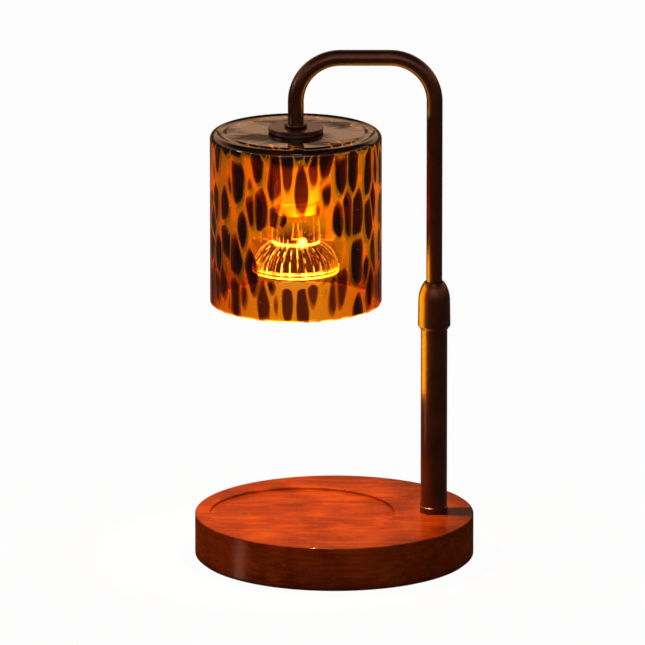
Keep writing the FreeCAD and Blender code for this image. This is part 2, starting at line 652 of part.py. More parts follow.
def make_bulb_pins():
    """The two mushroom-headed pins."""
    pins = []
    for side in (-1, 1):
        x = HEAD_X + side * PIN_SPAN / 2
        stem = disc(PIN_DIA, BULB_TOP, PIN_HEAD_FOOT, x)
        pins.append(stem.fuse(disc(PIN_HEAD_DIA, PIN_HEAD_FOOT, PIN_TOP, x)))
    return Part.makeCompound(pins)


def bell_edge(grow):
    """The swelling outer edge of the reflector's bell, moved outward by grow."""
    top = (WAIST_DIA / 2 + grow, NECK_FOOT)
    foot = (RIM_DIA / 2 - RIM_ROUND + grow, BELL_FOOT)
    run = math.hypot(foot[0] - top[0], top[1] - foot[1])
    lean = ((top[1] - foot[1]) / run, (foot[0] - top[0]) / run)
    middle = ((top[0] + foot[0]) / 2 + BELL_SAG * lean[0],
              (top[1] + foot[1]) / 2 + BELL_SAG * lean[1])
    return top, middle, foot


def make_bulb_reflector():
    """The pressed glass reflector: a bulging neck, a ribbed bell and a rolled rim."""
    neck = BULB_BASE_DIA / 2 - BULB_BASE_CHAMFER / 2
    bulge = (NECK_BULGE_DIA / 2, BULB_BASE_FOOT - NECK_BULGE_DROP)
    waist, swell, bell_foot = bell_edge(0)
    rim = RIM_DIA / 2
    lens_seat = rim - LENS_LEDGE
    throat = CAPSULE_SEAT_DIA / 2 + FIT
    ledge = RIM_FOOT + LENS_THICK
    inner_rim = lens_seat - LENS_LEDGE
    inner_swell = (swell[0] - GLASS_WALL, swell[1] - GLASS_WALL)
    throat_foot = (throat, NECK_FOOT)
    neck_top = (neck, BULB_BASE_FOOT)
    neck_side = ((neck + bulge[0]) / 2 + NECK_SWELL, BULB_BASE_FOOT - NECK_BULGE_DROP / 2)
    groove_middle = (BELL_FOOT + RIM_FOOT) / 2
    groove_top = groove_middle + RIM_GROOVE / 2
    groove_low = groove_middle - RIM_GROOVE / 2
    edges = [
        line((throat, BULB_BASE_FOOT), neck_top),
        arc(neck_top, neck_side, bulge),
        quarter(bulge, waist, (bulge[0], waist[1])),
        arc(waist, swell, bell_foot),
        line(bell_foot, (rim, BELL_FOOT - RIM_ROUND)),
        line((rim, BELL_FOOT - RIM_ROUND), (rim, groove_top)),
        arc((rim, groove_top), (rim - RIM_GROOVE_DEPTH, groove_middle), (rim, groove_low)),
        line((rim, groove_low), (rim, RIM_FOOT + RIM_ROUND)),
        quarter((rim, RIM_FOOT + RIM_ROUND), (rim - RIM_ROUND, RIM_FOOT), (rim, RIM_FOOT)),
        line((rim - RIM_ROUND, RIM_FOOT), (lens_seat, RIM_FOOT)),
        line((lens_seat, RIM_FOOT), (lens_seat, ledge)),
        line((lens_seat, ledge), (inner_rim, ledge)),
        arc((inner_rim, ledge), inner_swell, throat_foot),
        line(throat_foot, (throat, BULB_BASE_FOOT)),
    ]
    bowl = turned_edges(edges, HEAD_X)
    return bowl.multiFuse([make_rib(turn) for turn in range(RIB_COUNT)])


def make_rib(turn):
    """One raised rib down the outside of the bell."""
    spacing = 360.0 / RIB_COUNT
    inside = bell_edge(-GLASS_WALL / 2)
    outside = bell_edge(RIB_HEIGHT)
    edges = [arc(*inside), arc(*outside), line(inside[0], outside[0]),
             line(inside[2], outside[2])]
    rib = turned_edges(edges, HEAD_X, spacing / 2)
    rib.rotate(vec(HEAD_X, 0, 0), UP, turn * spacing)
    return rib


def make_bulb_lens():
    """The clear cover that closes the reflector's mouth."""
    lens_dia = RIM_DIA - 2 * LENS_LEDGE - 2 * FIT
    return disc(lens_dia, RIM_FOOT, RIM_FOOT + LENS_THICK, HEAD_X)


def make_bulb_capsule():
    """The hollow quartz capsule that holds the filament."""
    high = BULB_BASE_FOOT - CAPSULE_SEAT_HEIGHT
    low = high - CAPSULE_LENGTH
    tip = CAPSULE_DIA / 2
    hollow_tip = tip - CAPSULE_WALL
    shell = disc(CAPSULE_DIA, low + tip, high, HEAD_X)
    shell = shell.fuse(Part.makeSphere(tip, vec(HEAD_X, 0, low + tip)))
    hollow = disc(2 * hollow_tip, low + tip, high - CAPSULE_WALL, HEAD_X)
    hollow = hollow.fuse(Part.makeSphere(hollow_tip, vec(HEAD_X, 0, low + tip)))
    return shell.cut(hollow).removeSplitter()


def make_bulb_filament():
    """The coil across the capsule, on its two lead wires."""
    high = BULB_BASE_FOOT - CAPSULE_SEAT_HEIGHT - CAPSULE_WALL
    coil_height = high - CAPSULE_LENGTH / 2
    coil = Part.makeCylinder(COIL_DIA / 2, COIL_LENGTH,
                             vec(HEAD_X - COIL_LENGTH / 2, 0, coil_height), vec(1, 0, 0))
    inset = COIL_LENGTH / 2 - LEAD_DIA
    leads = [disc(LEAD_DIA, coil_height, high, HEAD_X + side * inset) for side in (-1, 1)]
    return coil.multiFuse(leads)


# ---------------------------------------------------------------- the whole lamp
NODES = {
    "base_block": make_base_block,
    "anti_slip_pad": make_anti_slip_pad,
    "cord_grommet": make_cord_grommet,
    "foot_ferrule": make_foot_ferrule,
    "foot_nipple": make_foot_nipple,
    "foot_washer": make_foot_washer,
    "foot_nut": make_foot_nut,
    "outer_tube": make_outer_tube,
    "guide_bush": make_guide_bush,
    "lock_collar": make_lock_collar,
    "clamp_sleeve": make_clamp_sleeve,
    "arm_tube": make_arm_tube,
    "slide_bush": make_slide_bush,
    "stem_bead": make_stem_bead,
    "hanger_nipple": make_hanger_nipple,
    "shade_disc": make_shade_disc,
    "upper_gasket": make_upper_gasket,
    "shade_glass": make_shade_glass,
    "lower_gasket": make_lower_gasket,
    "shade_washer": make_shade_washer,
    "shade_nut": make_shade_nut,
    "holder_cap": make_holder_cap,
    "holder_screws": make_holder_screws,
    "lamp_holder": make_lamp_holder,
    "contact_left": lambda: make_contact(-1),
    "contact_right": lambda: make_contact(1),
    "bulb_base": make_bulb_base,
    "bulb_pins": make_bulb_pins,
    "bulb_reflector": make_bulb_reflector,
    "bulb_lens": make_bulb_lens,
    "bulb_capsule": make_bulb_capsule,
    "bulb_filament": make_bulb_filament,
}


def main():
    """Build each piece and write it to its own STEP file."""
    os.makedirs("parts", exist_ok=True)
    for name, make in NODES.items():
        shape = make()
        shape.exportStep(os.path.join("parts", name + ".step"))
        solids = shape.Solids
        print(f"{name}: {len(solids)} solid(s), {shape.Volume:.0f} mm3, valid {shape.isValid()}")


main()
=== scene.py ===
import functools
import logging
import math
from collections.abc import Callable, Mapping, Sequence
from dataclasses import dataclass, replace
from enum import Enum

import bpy
from mathutils import Euler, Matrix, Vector


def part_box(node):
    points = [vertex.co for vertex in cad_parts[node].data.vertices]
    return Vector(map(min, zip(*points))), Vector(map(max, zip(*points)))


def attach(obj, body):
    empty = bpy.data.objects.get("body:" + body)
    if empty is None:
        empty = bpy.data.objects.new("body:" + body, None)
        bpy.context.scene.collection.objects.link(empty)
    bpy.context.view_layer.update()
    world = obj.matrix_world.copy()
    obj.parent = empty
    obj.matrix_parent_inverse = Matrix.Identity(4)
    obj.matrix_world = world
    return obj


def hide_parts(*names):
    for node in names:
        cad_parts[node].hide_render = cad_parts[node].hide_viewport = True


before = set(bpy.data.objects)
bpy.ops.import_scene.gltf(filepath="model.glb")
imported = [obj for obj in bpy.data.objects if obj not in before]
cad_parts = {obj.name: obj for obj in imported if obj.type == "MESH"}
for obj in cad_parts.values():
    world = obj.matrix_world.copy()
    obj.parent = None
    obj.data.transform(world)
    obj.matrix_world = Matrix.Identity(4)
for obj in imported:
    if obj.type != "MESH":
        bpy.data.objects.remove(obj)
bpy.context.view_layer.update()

# Looks of a candle warmer lamp. Metres: the origin is the centre of the plinth's underside, +Z up,
# the pole at +X and the shade to the left of it.

log = logging.getLogger("lamp")
MM = 0.001
WAVE_SCALE = 0.314  # a wave texture's scale for one band in a metre

Colour = tuple[float, float, float, float]
Pair = tuple[float, float]
Point = tuple[float, float, float]
Stops = tuple[tuple[float, float | str], ...]
Piece = bpy.types.Object
Socket = bpy.types.NodeSocket
Level = Socket | float
Tree = bpy.types.NodeTree
Outputs = Mapping[str | int, Socket]


class Body(Enum):
    """The bodies that new pieces and lights move with."""

    ARM = "arm"
    BULB = "bulb"


class Pick(Enum):
    """What an edit selects."""

    FACE = "FACE"
    EDGE = "EDGE"


# ------------ shader helpers
def linear(code: str) -> Colour:
    """Turn an sRGB hex colour into the linear values that shaders take, with full alpha."""
    shares = [int(code[start:start + 2], 16) / 255 for start in (1, 3, 5)]
    values = [share / 12.92 if share <= 0.04045 else ((share + 0.055) / 1.055) ** 2.4 for share in shares]
    return (*values, 1.0)


def add(where: Tree | Socket, kind: str, inputs: Mapping[str | int, object] | None = None,
        **settings: object) -> Outputs:
    """Add one node with its settings, values and links.

    Args:
        where: The node tree to add it to, or any socket in that tree.
        kind: The node's type without its ShaderNode prefix.
        inputs: Plain values, or sockets to link from, by input name or number.
        settings: Attributes of the node itself.

    Returns:
        The new node's outputs.
    """
    tree = where.id_data
    made = tree.nodes.new("ShaderNode" + kind)
    for name, value in settings.items():
        setattr(made, name, value)
    for key, value in (inputs or {}).items():
        if isinstance(value, Socket):
            tree.links.new(value, made.inputs[key])
        else:
            made.inputs[key].default_value = value
    return made.outputs


def calc(operation: str, *terms: Level) -> Socket:
    """Reckon with numbers, at least one of them a socket, by a Math node's operation."""
    where = next(term for term in terms if isinstance(term, Socket))
    return add(where, "Math", dict(enumerate(terms)), operation=operation)[0]


def vector(operation: str, *terms: Level | Point) -> Socket:
    """Reckon with places.

    Args:
        operation: A Vector Math node's operation.
        terms: Its inputs. The first is a socket, and the second of SCALE is a number.

    Returns:
        A number for a length, a distance and a dot product, and otherwise a place.
    """
    keys: tuple[int | str, ...] = (0, "Scale") if operation == "SCALE" else (0, 1)
    made = add(terms[0], "VectorMath", dict(zip(keys, terms)), operation=operation)
    return made["Value" if operation in ("LENGTH", "DISTANCE", "DOT_PRODUCT") else "Vector"]


def span(value: Socket, start: Level, end: Level, low: Level = 0.0, high: Level = 1.0,
         kind: str = "LINEAR") -> Socket:
    """Turn a value that runs from start to end into one from low to high, held beyond both ends."""
    ends = {"From Min": start, "From Max": end, "To Min": low, "To Max": high}
    return add(value, "MapRange", {"Value": value, **ends}, interpolation_type=kind)[0]


def noise(place: Socket, size: float, detail: float = 2.0, rough: float = 0.5) -> Socket:
    """Draw clouds of that size in metres, as a number round 0.5."""
    look = {"Scale": 1 / size, "Detail": detail, "Roughness": rough}
    return add(place, "TexNoise", {"Vector": place, **look})["Fac"]


def stretched(place: Socket, scale: Point, turn: Point = (0.0, 0.0, 0.0)) -> Socket:
    """Turn and stretch a place, so that a pattern drawn on it runs along the small scales."""
    return add(place, "Mapping", {"Vector": place, "Rotation": turn, "Scale": scale})[0]


def from_axis(place: Socket, x: float) -> Socket:
    """Count a place from an upright axis at x."""
    return add(place, "Mapping", {"Vector": place, "Location": (-x, 0, 0)})[0]


def apart(place: Socket) -> Outputs:
    """Take a place apart into three numbers."""
    return add(place, "SeparateXYZ", {0: place})


def level_part(parts: Outputs) -> Socket:
    """Put a place together again without its height."""
    return add(parts[0], "CombineXYZ", {0: parts[0], 1: parts[1]})[0]


def slant_of(place: Socket) -> Socket:
    """Draw 0 where the surface faces the eye, to 1 where it is seen at a slant."""
    return add(place, "LayerWeight", {"Blend": 0.5})["Facing"]


def blend(share: Socket, first: Socket | str, second: Socket | str) -> Socket:
    """Mix two colours, from the first at 0 to the second at 1."""
    ends = [end if isinstance(end, Socket) else linear(end) for end in (first, second)]
    return add(share, "Mix", {0: share, 6: ends[0], 7: ends[1]}, data_type="RGBA")[2]


def ramp(value: Socket, stops: Stops) -> Socket:
    """Follow stops along a value.

    Args:
        value: From 0 to 1.
        stops: Places on the way, each with a hex colour or a level.

    Returns:
        The colour or level there.
    """
    colour = add(value, "ValToRGB", {"Fac": value})["Color"]
    elements = colour.node.color_ramp.elements
    while len(elements) < len(stops):
        elements.new(1.0)
    for element, (position, tone) in zip(elements, stops):
        element.position = position
        element.color = linear(tone) if isinstance(tone, str) else (tone, tone, tone, 1.0)
    return colour


def emboss(height: Socket, strength: float, depth: float, **under: Socket) -> Socket:
    """Raise a surface by a height of 0 to 1 times the depth, over the Normal that is given."""
    return add(height, "Bump", {"Height": height, "Strength": strength, "Distance": depth, **under})[0]


def mix_shaders(share: Socket, first: Socket, second: Socket) -> Socket:
    """Mix two shaders, from the first at 0 to the second at 1."""
    return add(share, "MixShader", {0: share, 1: first, 2: second})[0]


def let_lamps_through(body: Socket, tint: Socket | Colour) -> Socket:
    """Give a glass body a tinted shadow, so that lamps shine through it."""
    clear = add(body, "BsdfTransparent", {"Color": tint})[0]
    return mix_shaders(add(body, "LightPath")["Is Shadow Ray"], body, clear)


def blank_material(name: str) -> tuple[bpy.types.Material, Tree]:
    """Make a material with an empty node tree.

    Args:
        name: The material's name.

    Returns:
        The material and its node tree.
    """
    material = bpy.data.materials.new(name)
    material.use_nodes = True
    material.node_tree.nodes.clear()
    return material, material.node_tree


# ------------ mesh and light helpers
def focus(*pieces: Piece) -> None:
    """Leave edit mode if need be and select some objects only.

    Args:
        pieces: The objects, of which the first becomes active.
    """
    if bpy.context.object is not None and bpy.context.object.mode != "OBJECT":
        bpy.ops.object.mode_set(mode="OBJECT")
    bpy.ops.object.select_all(action="DESELECT")
    for piece in pieces:
        piece.select_set(True)
    if pieces:
        bpy.context.view_layer.objects.active = pieces[0]


def settled() -> Piece:
    """Put the active object's place, turn and size into its mesh, and return it."""
    bpy.ops.object.transform_apply(location=True, rotation=True, scale=True)
    return bpy.context.object


def pick(piece: Piece, kind: Pick, test: Callable[[bpy.types.bpy_struct], bool]) -> None:
    """Select the faces or edges that pass a test, and enter edit mode.

    Args:
        piece: The active mesh object.
        kind: Faces or edges.
        test: Tells whether to select one of them.
    """
    bpy.ops.object.mode_set(mode="EDIT")
    bpy.ops.mesh.select_mode(type=kind.value)
    bpy.ops.mesh.select_all(action="DESELECT")
    bpy.ops.object.mode_set(mode="OBJECT")
    for part in piece.data.polygons if kind is Pick.FACE else piece.data.edges:
        part.select = test(part)
    bpy.ops.object.mode_set(mode="EDIT")


def close_up(piece: Piece) -> None:
    """Merge doubles, close holes, turn the faces outward and leave edit mode.

    Args:
        piece: The mesh object.
    """
    focus(piece)
    bpy.ops.object.mode_set(mode="EDIT")
    bpy.ops.mesh.select_mode(type="VERT")
    bpy.ops.mesh.select_all(action="SELECT")
    bpy.ops.mesh.remove_doubles(threshold=0.002 * MM)
    bpy.ops.mesh.select_all(action="SELECT")
    bpy.ops.mesh.fill_holes(sides=0)
    bpy.ops.mesh.select_all(action="SELECT")
    bpy.ops.mesh.normals_make_consistent(inside=False)
    bpy.ops.object.mode_set(mode="OBJECT")
    bpy.ops.object.shade_smooth_by_angle(angle=math.radians(35))


def new_object(name: str, data: bpy.types.ID) -> Piece:
    """Make an object of its data, put it in the scene and return it."""
    made = bpy.data.objects.new(name, data)
    bpy.context.scene.collection.objects.link(made)
    return made


def facing(place: Point | Vector, target: Point | Vector, axis: str = "-Z") -> Euler:
    """The turn that points an object's axis from its place to a target."""
    return (Vector(target) - Vector(place)).to_track_quat(axis, "Y").to_euler()


def new_light(name: str, kind: str, place: Point | Vector, power: float, colour: str) -> Piece:
    """Add a light.

    Args:
        name: Its name.
        kind: Blender's light type.
        place: Where it is.
        power: Watts.
        colour: Hex colour.

    Returns:
        The light.
    """
    data = bpy.data.lights.new(name, kind)
    data.energy = power
    data.color = linear(colour)[:3]
    light = new_object(name, data)
    light.location = place
    return light


# ------------ finishes
@dataclass(frozen=True)
class Finish:
    """A surface finish. Subclasses draw its nodes and return the surface shader's socket."""

    name: str

    def surface(self, place: Socket) -> Socket:
        """Draw the nodes.

        Args:
            place: Object coordinates, in metres.

        Returns:
            The surface's shader.
        """
        raise NotImplementedError


@functools.cache
def material_of(finish: Finish) -> bpy.types.Material:
    """Make a finish's material, once.

    Args:
        finish: The finish.

    Returns:
        Its material.
    """
    material, tree = blank_material(finish.name)
    place = add(tree, "TexCoord")["Object"]
    add(tree, "OutputMaterial", {"Surface": finish.surface(place)})
    material.cycles.emission_sampling = "NONE"
    return material


@dataclass(frozen=True)
class StainedWood(Finish):
    """Beech, turned and sanded, with a red-brown stain under satin lacquer.

    The stain leaves a faint fibre, soft clouds and the short pale flecks of the beech's rays.
    """

    name: str = "stained_beech_satin_lacquer"
    stain: Stops = ((0.28, "#3a0f02"), (0.50, "#5c2003"), (0.72, "#783206"))
    blotch: float = 30 * MM
    blotch_share: float = 0.62  # of the tone; the fibres have the rest
    fleck: str = "#8c4412"
    fleck_width: float = 0.7 * MM
    fleck_stretch: float = 0.16
    fleck_edge: Pair = (0.62, 0.80)
    fleck_share: float = 0.6
    fibre: float = 1.7 * MM  # about four times too coarse, so that it shows
    fibre_stretch: float = 0.06
    layer: float = 0.45  # the board is sawn flat: fibres lie in thin level layers
    unaligned: Point = (0.5, 0.9, 0.4)  # keeps the noise's lattice from showing
    grain_depth: float = 0.25 * MM
    gloss: Pair = (0.34, 0.52)
    ripple: float = 5 * MM  # of the lacquer's skin
    ripple_depth: float = 0.4 * MM

    def surface(self, place: Socket) -> Socket:
        """Draw fibres, flecks and uneven stain under a coat.

        Args:
            place: Object coordinates, in metres.

        Returns:
            The surface's shader.
        """
        board = stretched(place, (self.fibre_stretch, self.layer, 1.0), self.unaligned)
        fibres = noise(board, self.fibre)
        rays = noise(stretched(place, (self.fleck_stretch, 1.0, 1.0)), self.fleck_width, 1.0)
        flecks = span(rays, *self.fleck_edge, 0.0, self.fleck_share, "SMOOTHSTEP")
        clouds = noise(place, self.blotch, 3.0, 0.55)
        tone = add(place, "Mix", {0: self.blotch_share, 2: fibres, 3: clouds}, data_type="FLOAT")[0]
        colour = blend(flecks, ramp(tone, self.stain), self.fleck)
        grain = emboss(fibres, 0.10, self.grain_depth)
        skin = emboss(noise(place, self.ripple), 0.10, self.ripple_depth)
        return add(place, "BsdfPrincipled", {
            "Base Color": colour, "Roughness": span(fibres, 0, 1, *self.gloss),
            "Specular IOR Level": 0.0, "Normal": grain,
            "Coat Weight": 0.16, "Coat Roughness": 0.18, "Coat Normal": skin})[0]


@dataclass(frozen=True)
class BronzeLacquer(Finish):
    """Oil-rubbed bronze lacquer, sprayed on steel and baked.

    Dark brown and metallic, with faint clouds and a very fine orange peel under a clear coat.
    """

    name: str = "oil_rubbed_bronze_lacquer"
    tones: Stops = ((0.3, "#34150a"), (0.72, "#50250f"))
    gloss: Pair = (0.30, 0.42)
    cloud: float = 14 * MM
    peel: float = 0.9 * MM
    peel_depth: float = 0.05 * MM

    def surface(self, place: Socket) -> Socket:
        """Draw the clouded metallic lacquer.

        Args:
            place: Object coordinates, in metres.

        Returns:
            The surface's shader.
        """
        grain = noise(place, self.peel)
        return add(place, "BsdfPrincipled", {
            "Base Color": ramp(noise(place, self.cloud, 4.0, 0.6), self.tones),
            "Metallic": 0.6, "Roughness": span(grain, 0, 1, *self.gloss),
            "Normal": emboss(grain, 0.05, self.peel_depth),
            "Coat Weight": 0.3, "Coat Roughness": 0.3})[0]


@dataclass(frozen=True)
class Wall:
    """A place on the shade's wall."""

    centred: Socket  # from the shade's axis, in metres
    rolled: Socket  # on one cylinder round that axis, closed by the top
    along: Socket  # the height, which runs on over the top


@dataclass(frozen=True)
class TortoiseGlass(Finish):
    """Amber glass, blown into a mould over brown frit that melts into long tortoiseshell spots.

    Clear amber shows between the spots as bright veins, and a little light scatters in the wall. The veins,
    the lip and small bubbles also carry a painted glow, an emission that stands in for the bulb's light. The
    spots crowd together on the closed end, where the glass is almost all brown.
    """

    name: str = "amber_tortoiseshell_glass"
    amber: str = "#dc7e0c"
    pale: str = "#dc8c30"  # of the thinly spotted place
    rust: str = "#9a3802"  # of a spot's soft edge
    brown: str = "#6e2602"  # of the palest spots
    black: str = "#3e1202"  # of the darkest
    sooty: str = "#2a0c02"  # where the spots have grown together
    haze: str = "#fffa32"  # light scattered by the clear glass
    dull: str = "#240a02"  # light scattered by a spot
    # colour of the painted glow on the clear glass
    glow: str = "#ffa400"
    # colour of the painted glow on the lip
    lip_painted_glow_colour: str = "#ffdc78"

    # The drum that the pattern is laid on.
    axis_x: float = -22.4 * MM
    wall_radius: float = 48.5 * MM
    top: float = 254.7 * MM
    mouth: float = 152.6 * MM  # height of the lip
    turn_in: float = 5 * MM  # this far in from the wall, the pattern lies flat on the top

    # The spots. Their reach is counted in cells of the pattern.
    spot_width: float = 7.6 * MM
    spot_stretch: float = 0.30
    spot_order: float = 0.75  # how far the spots stray from even rows
    spot_reach: Pair = (0.46, 0.76)
    spot_edge: float = 0.11
    wobble: float = 1.2 * MM
    wobble_size: float = 8 * MM
    crowd_gain: float = 0.45  # what crowding adds to the reach
    window_loss: float = -0.8  # what the thin place takes from it
    sparse_loss: float = -0.13  # what the lip takes from it
    vein: Pair = (0.15, 0.05)  # half of its width, apart and crowded
    vein_edge: Pair = (0.02, -0.2)  # where it is all clear, apart and grown together

    crowd_way: Pair = (-14.7 * MM, 15.3 * MM)  # from the top, where the crowding's stops lie
    crowding: Stops = (
        (0.08, 0.0), (0.30, 0.5), (0.37, 1.0), (0.60, 1.0), (0.64, 0.1), (0.94, 0.1), (1.0, 1.0))
    over: Pair = (0.40, 0.55)  # share of that way at which the top's patches set in
    patch: float = 16 * MM  # size of the clear patches that are left on the top
    patch_edge: Pair = (0.57, 0.50)
    sparse: Pair = (24 * MM, 10 * MM)  # above the lip, where the spots thin out
    window: Point = (0.0, -48.5 * MM, 192 * MM)  # the frit lies thinly in the middle of the front
    window_edge: Pair = (21 * MM, 12 * MM)
    window_squeeze: Point = (0.65, 1.0, 1.0)  # it is wider than high

    # The surface, in waves of the wall.
    waves: float = 7 * MM
    wave_depth: float = 0.3 * MM
    level_off: float = 6 * MM  # from the top's edge to where the spots lie flat
    swell_from: float = 10 * MM  # and to where the swell is full
    raised: float = 0.5  # how far a spot stands out
    swell: float = 20.0  # how wavy the top set
    swell_size: float = 38 * MM

    # The painted glow: an emission on the clear glass, its lip and its bubbles, not light from the bulb.
    painted_glow_sides: Pair = (0.07, 0.18)  # strength of the painted glow on the left, where it is dimmer, and on the right
    painted_glow_heights: Pair = (170 * MM, 190 * MM)  # the painted glow is off below the first height and full above the second
    lip_painted_glow: Pair = (0.2, 2.0)  # painted glow of the fire-polished lip, low and high
    lip_height: Pair = (1.5 * MM, 0.7 * MM)
    lip_patch: float = 9 * MM
    lip_patch_edge: Pair = (0.38, 0.60)
    seed_spacing: float = 6 * MM  # of the small bubbles
    seed_radius: float = 0.4 * MM
    # painted glint on each small bubble
    painted_seed_glow: float = 0.8
    scatter: float = 0.035
    slant: float = 2.0  # how much more a wall seen at a slant swallows

    def lay_round(self, place: Socket) -> Wall:
        """Lay the pattern round the wall.

        Args:
            place: Object coordinates, in metres.

        Returns:
            The same place, as the pattern counts it.
        """
        centred = from_axis(place, self.axis_x)
        parts = apart(centred)
        level = level_part(parts)
        radius = vector("LENGTH", level)
        held = calc("MINIMUM", calc("ADD", radius, self.turn_in), self.wall_radius)
        ring = vector("SCALE", vector("NORMALIZE", level), held)
        along = calc("ADD", parts[2], calc("SUBTRACT", self.wall_radius, radius))
        lift = add(place, "CombineXYZ", {2: calc("MULTIPLY", along, self.spot_stretch)})[0]
        return Wall(centred, vector("ADD", ring, lift), along)

    def crowd(self, wall: Wall) -> tuple[Socket, Socket]:
        """Draw where the spots crowd together and where they thin out.

        Args:
            wall: The place on the wall.

        Returns:
            1 where the spots have grown together, and 1 where there are none.
        """
        share = span(wall.along, *(self.top + height for height in self.crowd_way))
        closed = span(noise(wall.centred, self.patch, 1.0), *self.patch_edge)
        patches = span(share, *self.over, 0.0, closed)
        crowd = calc("MAXIMUM", ramp(share, self.crowding), patches)
        away = vector("MULTIPLY", vector("SUBTRACT", wall.centred, self.window), self.window_squeeze)
        return crowd, span(vector("LENGTH", away), *self.window_edge)

    def spots(self, wall: Wall, crowd: Socket, window: Socket) -> tuple[Socket, Socket]:
        """Draw the spots.

        Args:
            wall: The place on the wall.
            crowd: 1 where the spots have grown together.
            window: 1 where there are none.

        Returns:
            How much a place is covered by a spot, and a random number for each spot.
        """
        waver = add(crowd, "TexNoise", {"Vector": wall.rolled, "Scale": 1 / self.wobble_size})["Color"]
        shift = vector("SCALE", vector("SUBTRACT", waver, (0.5, 0.5, 0.5)), self.wobble)
        pattern = {"Vector": vector("ADD", wall.rolled, shift), "Scale": 1 / self.spot_width,
                   "Randomness": self.spot_order}
        cell = add(crowd, "TexVoronoi", pattern, feature="F1")
        border = add(crowd, "TexVoronoi", pattern, feature="DISTANCE_TO_EDGE")["Distance"]
        chance = add(crowd, "SeparateColor", {0: cell["Color"]})
        low = span(wall.along, *(self.mouth + height for height in self.sparse))
        reach = span(chance[0], 0, 1, *self.spot_reach)
        for where, change in ((crowd, self.crowd_gain), (window, self.window_loss), (low, self.sparse_loss)):
            reach = calc("MULTIPLY_ADD", where, change, reach)
        inside = calc("SUBTRACT", reach, cell["Distance"])
        blob = span(inside, 0.0, self.spot_edge, kind="SMOOTHSTEP")
        vein = span(border, span(crowd, 0.96, 1.0, *self.vein_edge), span(crowd, 0, 1, *self.vein),
                    kind="SMOOTHSTEP")
        return calc("MULTIPLY", blob, vein), chance[2]

    def painted_glow(self, wall: Wall, spot: Socket, window: Socket, seed: Socket) -> tuple[Socket, Socket]:
        """Draw the painted glow: an emission on the clear glass, its lip and its seeds.

        Args:
            wall: The place on the wall.
            spot: 1 in a spot.
            window: 1 where there are none.
            seed: 1 in a small bubble.

        Returns:
            The emission strength, and 1 on the lip.
        """
        parts = apart(wall.centred)
        # Painted glow, dimmer on the left, off low down near the mouth and off in the spots.
        side = span(parts[0], -self.wall_radius, self.wall_radius, *self.painted_glow_sides)
        level = span(parts[2], *self.painted_glow_heights, 0.0, side)
        glow = calc("MULTIPLY", level, span(spot, 0.0, 0.4, 1.0, 0.0))
        glow = span(window, 0.0, 1.0, glow, 0.0)
        # Painted glow on the lip, in patches, and a painted glint on each bubble.
        lip = span(parts[2], *(self.mouth + height for height in self.lip_height))
        painted_lip_level = span(noise(wall.centred, self.lip_patch), *self.lip_patch_edge, *self.lip_painted_glow)
        glow = calc("MULTIPLY_ADD", lip, painted_lip_level, glow)
        return calc("MULTIPLY_ADD", seed, self.painted_seed_glow, glow), lip

    def relief(self, wall: Wall, spot: Socket) -> Socket:
        """Draw the wall's waves, the raised spots and the swell of the top.

        Args:
            wall: The place on the wall.
            spot: 1 in a spot.

        Returns:
            The embossed normal.
        """
        raised = span(wall.along, self.top, self.top + self.level_off, self.raised, 0.0)
        height = calc("MULTIPLY_ADD", spot, raised, noise(wall.rolled, self.waves, 1.0))
        swell = calc("SUBTRACT", noise(wall.centred, self.swell_size, 1.0), 0.5)
        over = span(wall.along, self.top, self.top + self.swell_from, 0.0, self.swell)
        return emboss(calc("MULTIPLY_ADD", swell, over, height), 0.25, self.wave_depth)

    def surface(self, place: Socket) -> Socket:
        """Draw spots in clear amber glass that lets lamps through, scatters a little light and carries a
        painted glow.

        Args:
            place: Object coordinates, in metres.

        Returns:
            The surface's shader.
        """
        wall = self.lay_round(place)
        crowd, window = self.crowd(wall)
        spot, chance = self.spots(wall, crowd, window)
        rim = blend(span(spot, 0.0, 0.5), blend(window, self.amber, self.pale), self.rust)
        heart = blend(crowd, blend(chance, self.black, self.brown), self.sooty)
        colour = blend(span(spot, 0.4, 1.0), rim, heart)
        slant = slant_of(place)
        path = calc("MULTIPLY_ADD", slant, self.slant, 1.0)
        bubble = add(place, "TexVoronoi", {"Vector": place, "Scale": 1 / self.seed_spacing})
        seed = span(bubble["Distance"], self.seed_radius / self.seed_spacing, 0.0)
        # Painted glow: emission on the clear glass, its lip and its bubbles.
        glow, lip = self.painted_glow(wall, spot, window, seed)
        glass = add(place, "BsdfPrincipled", {
            "Base Color": add(place, "Gamma", {"Color": colour, "Gamma": path})[0],
            "Roughness": 0.02, "IOR": 1.5, "Transmission Weight": 1.0, "Normal": self.relief(wall, spot),
            "Emission Color": blend(lip, self.glow, self.lip_painted_glow_colour), "Emission Strength": glow})[0]
        veiled = add(place, "BsdfTranslucent", {"Color": blend(spot, self.haze, self.dull)})[0]
        veil = calc("MULTIPLY_ADD", seed, 0.8, span(window, 0.0, 1.0, self.scatter, 0.0))
        body = mix_shaders(span(slant, 0.0, 1.0, veil, 0.0), glass, veiled)
        return let_lamps_through(body, add(place, "Gamma", {"Color": colour, "Gamma": 0.5})[0])


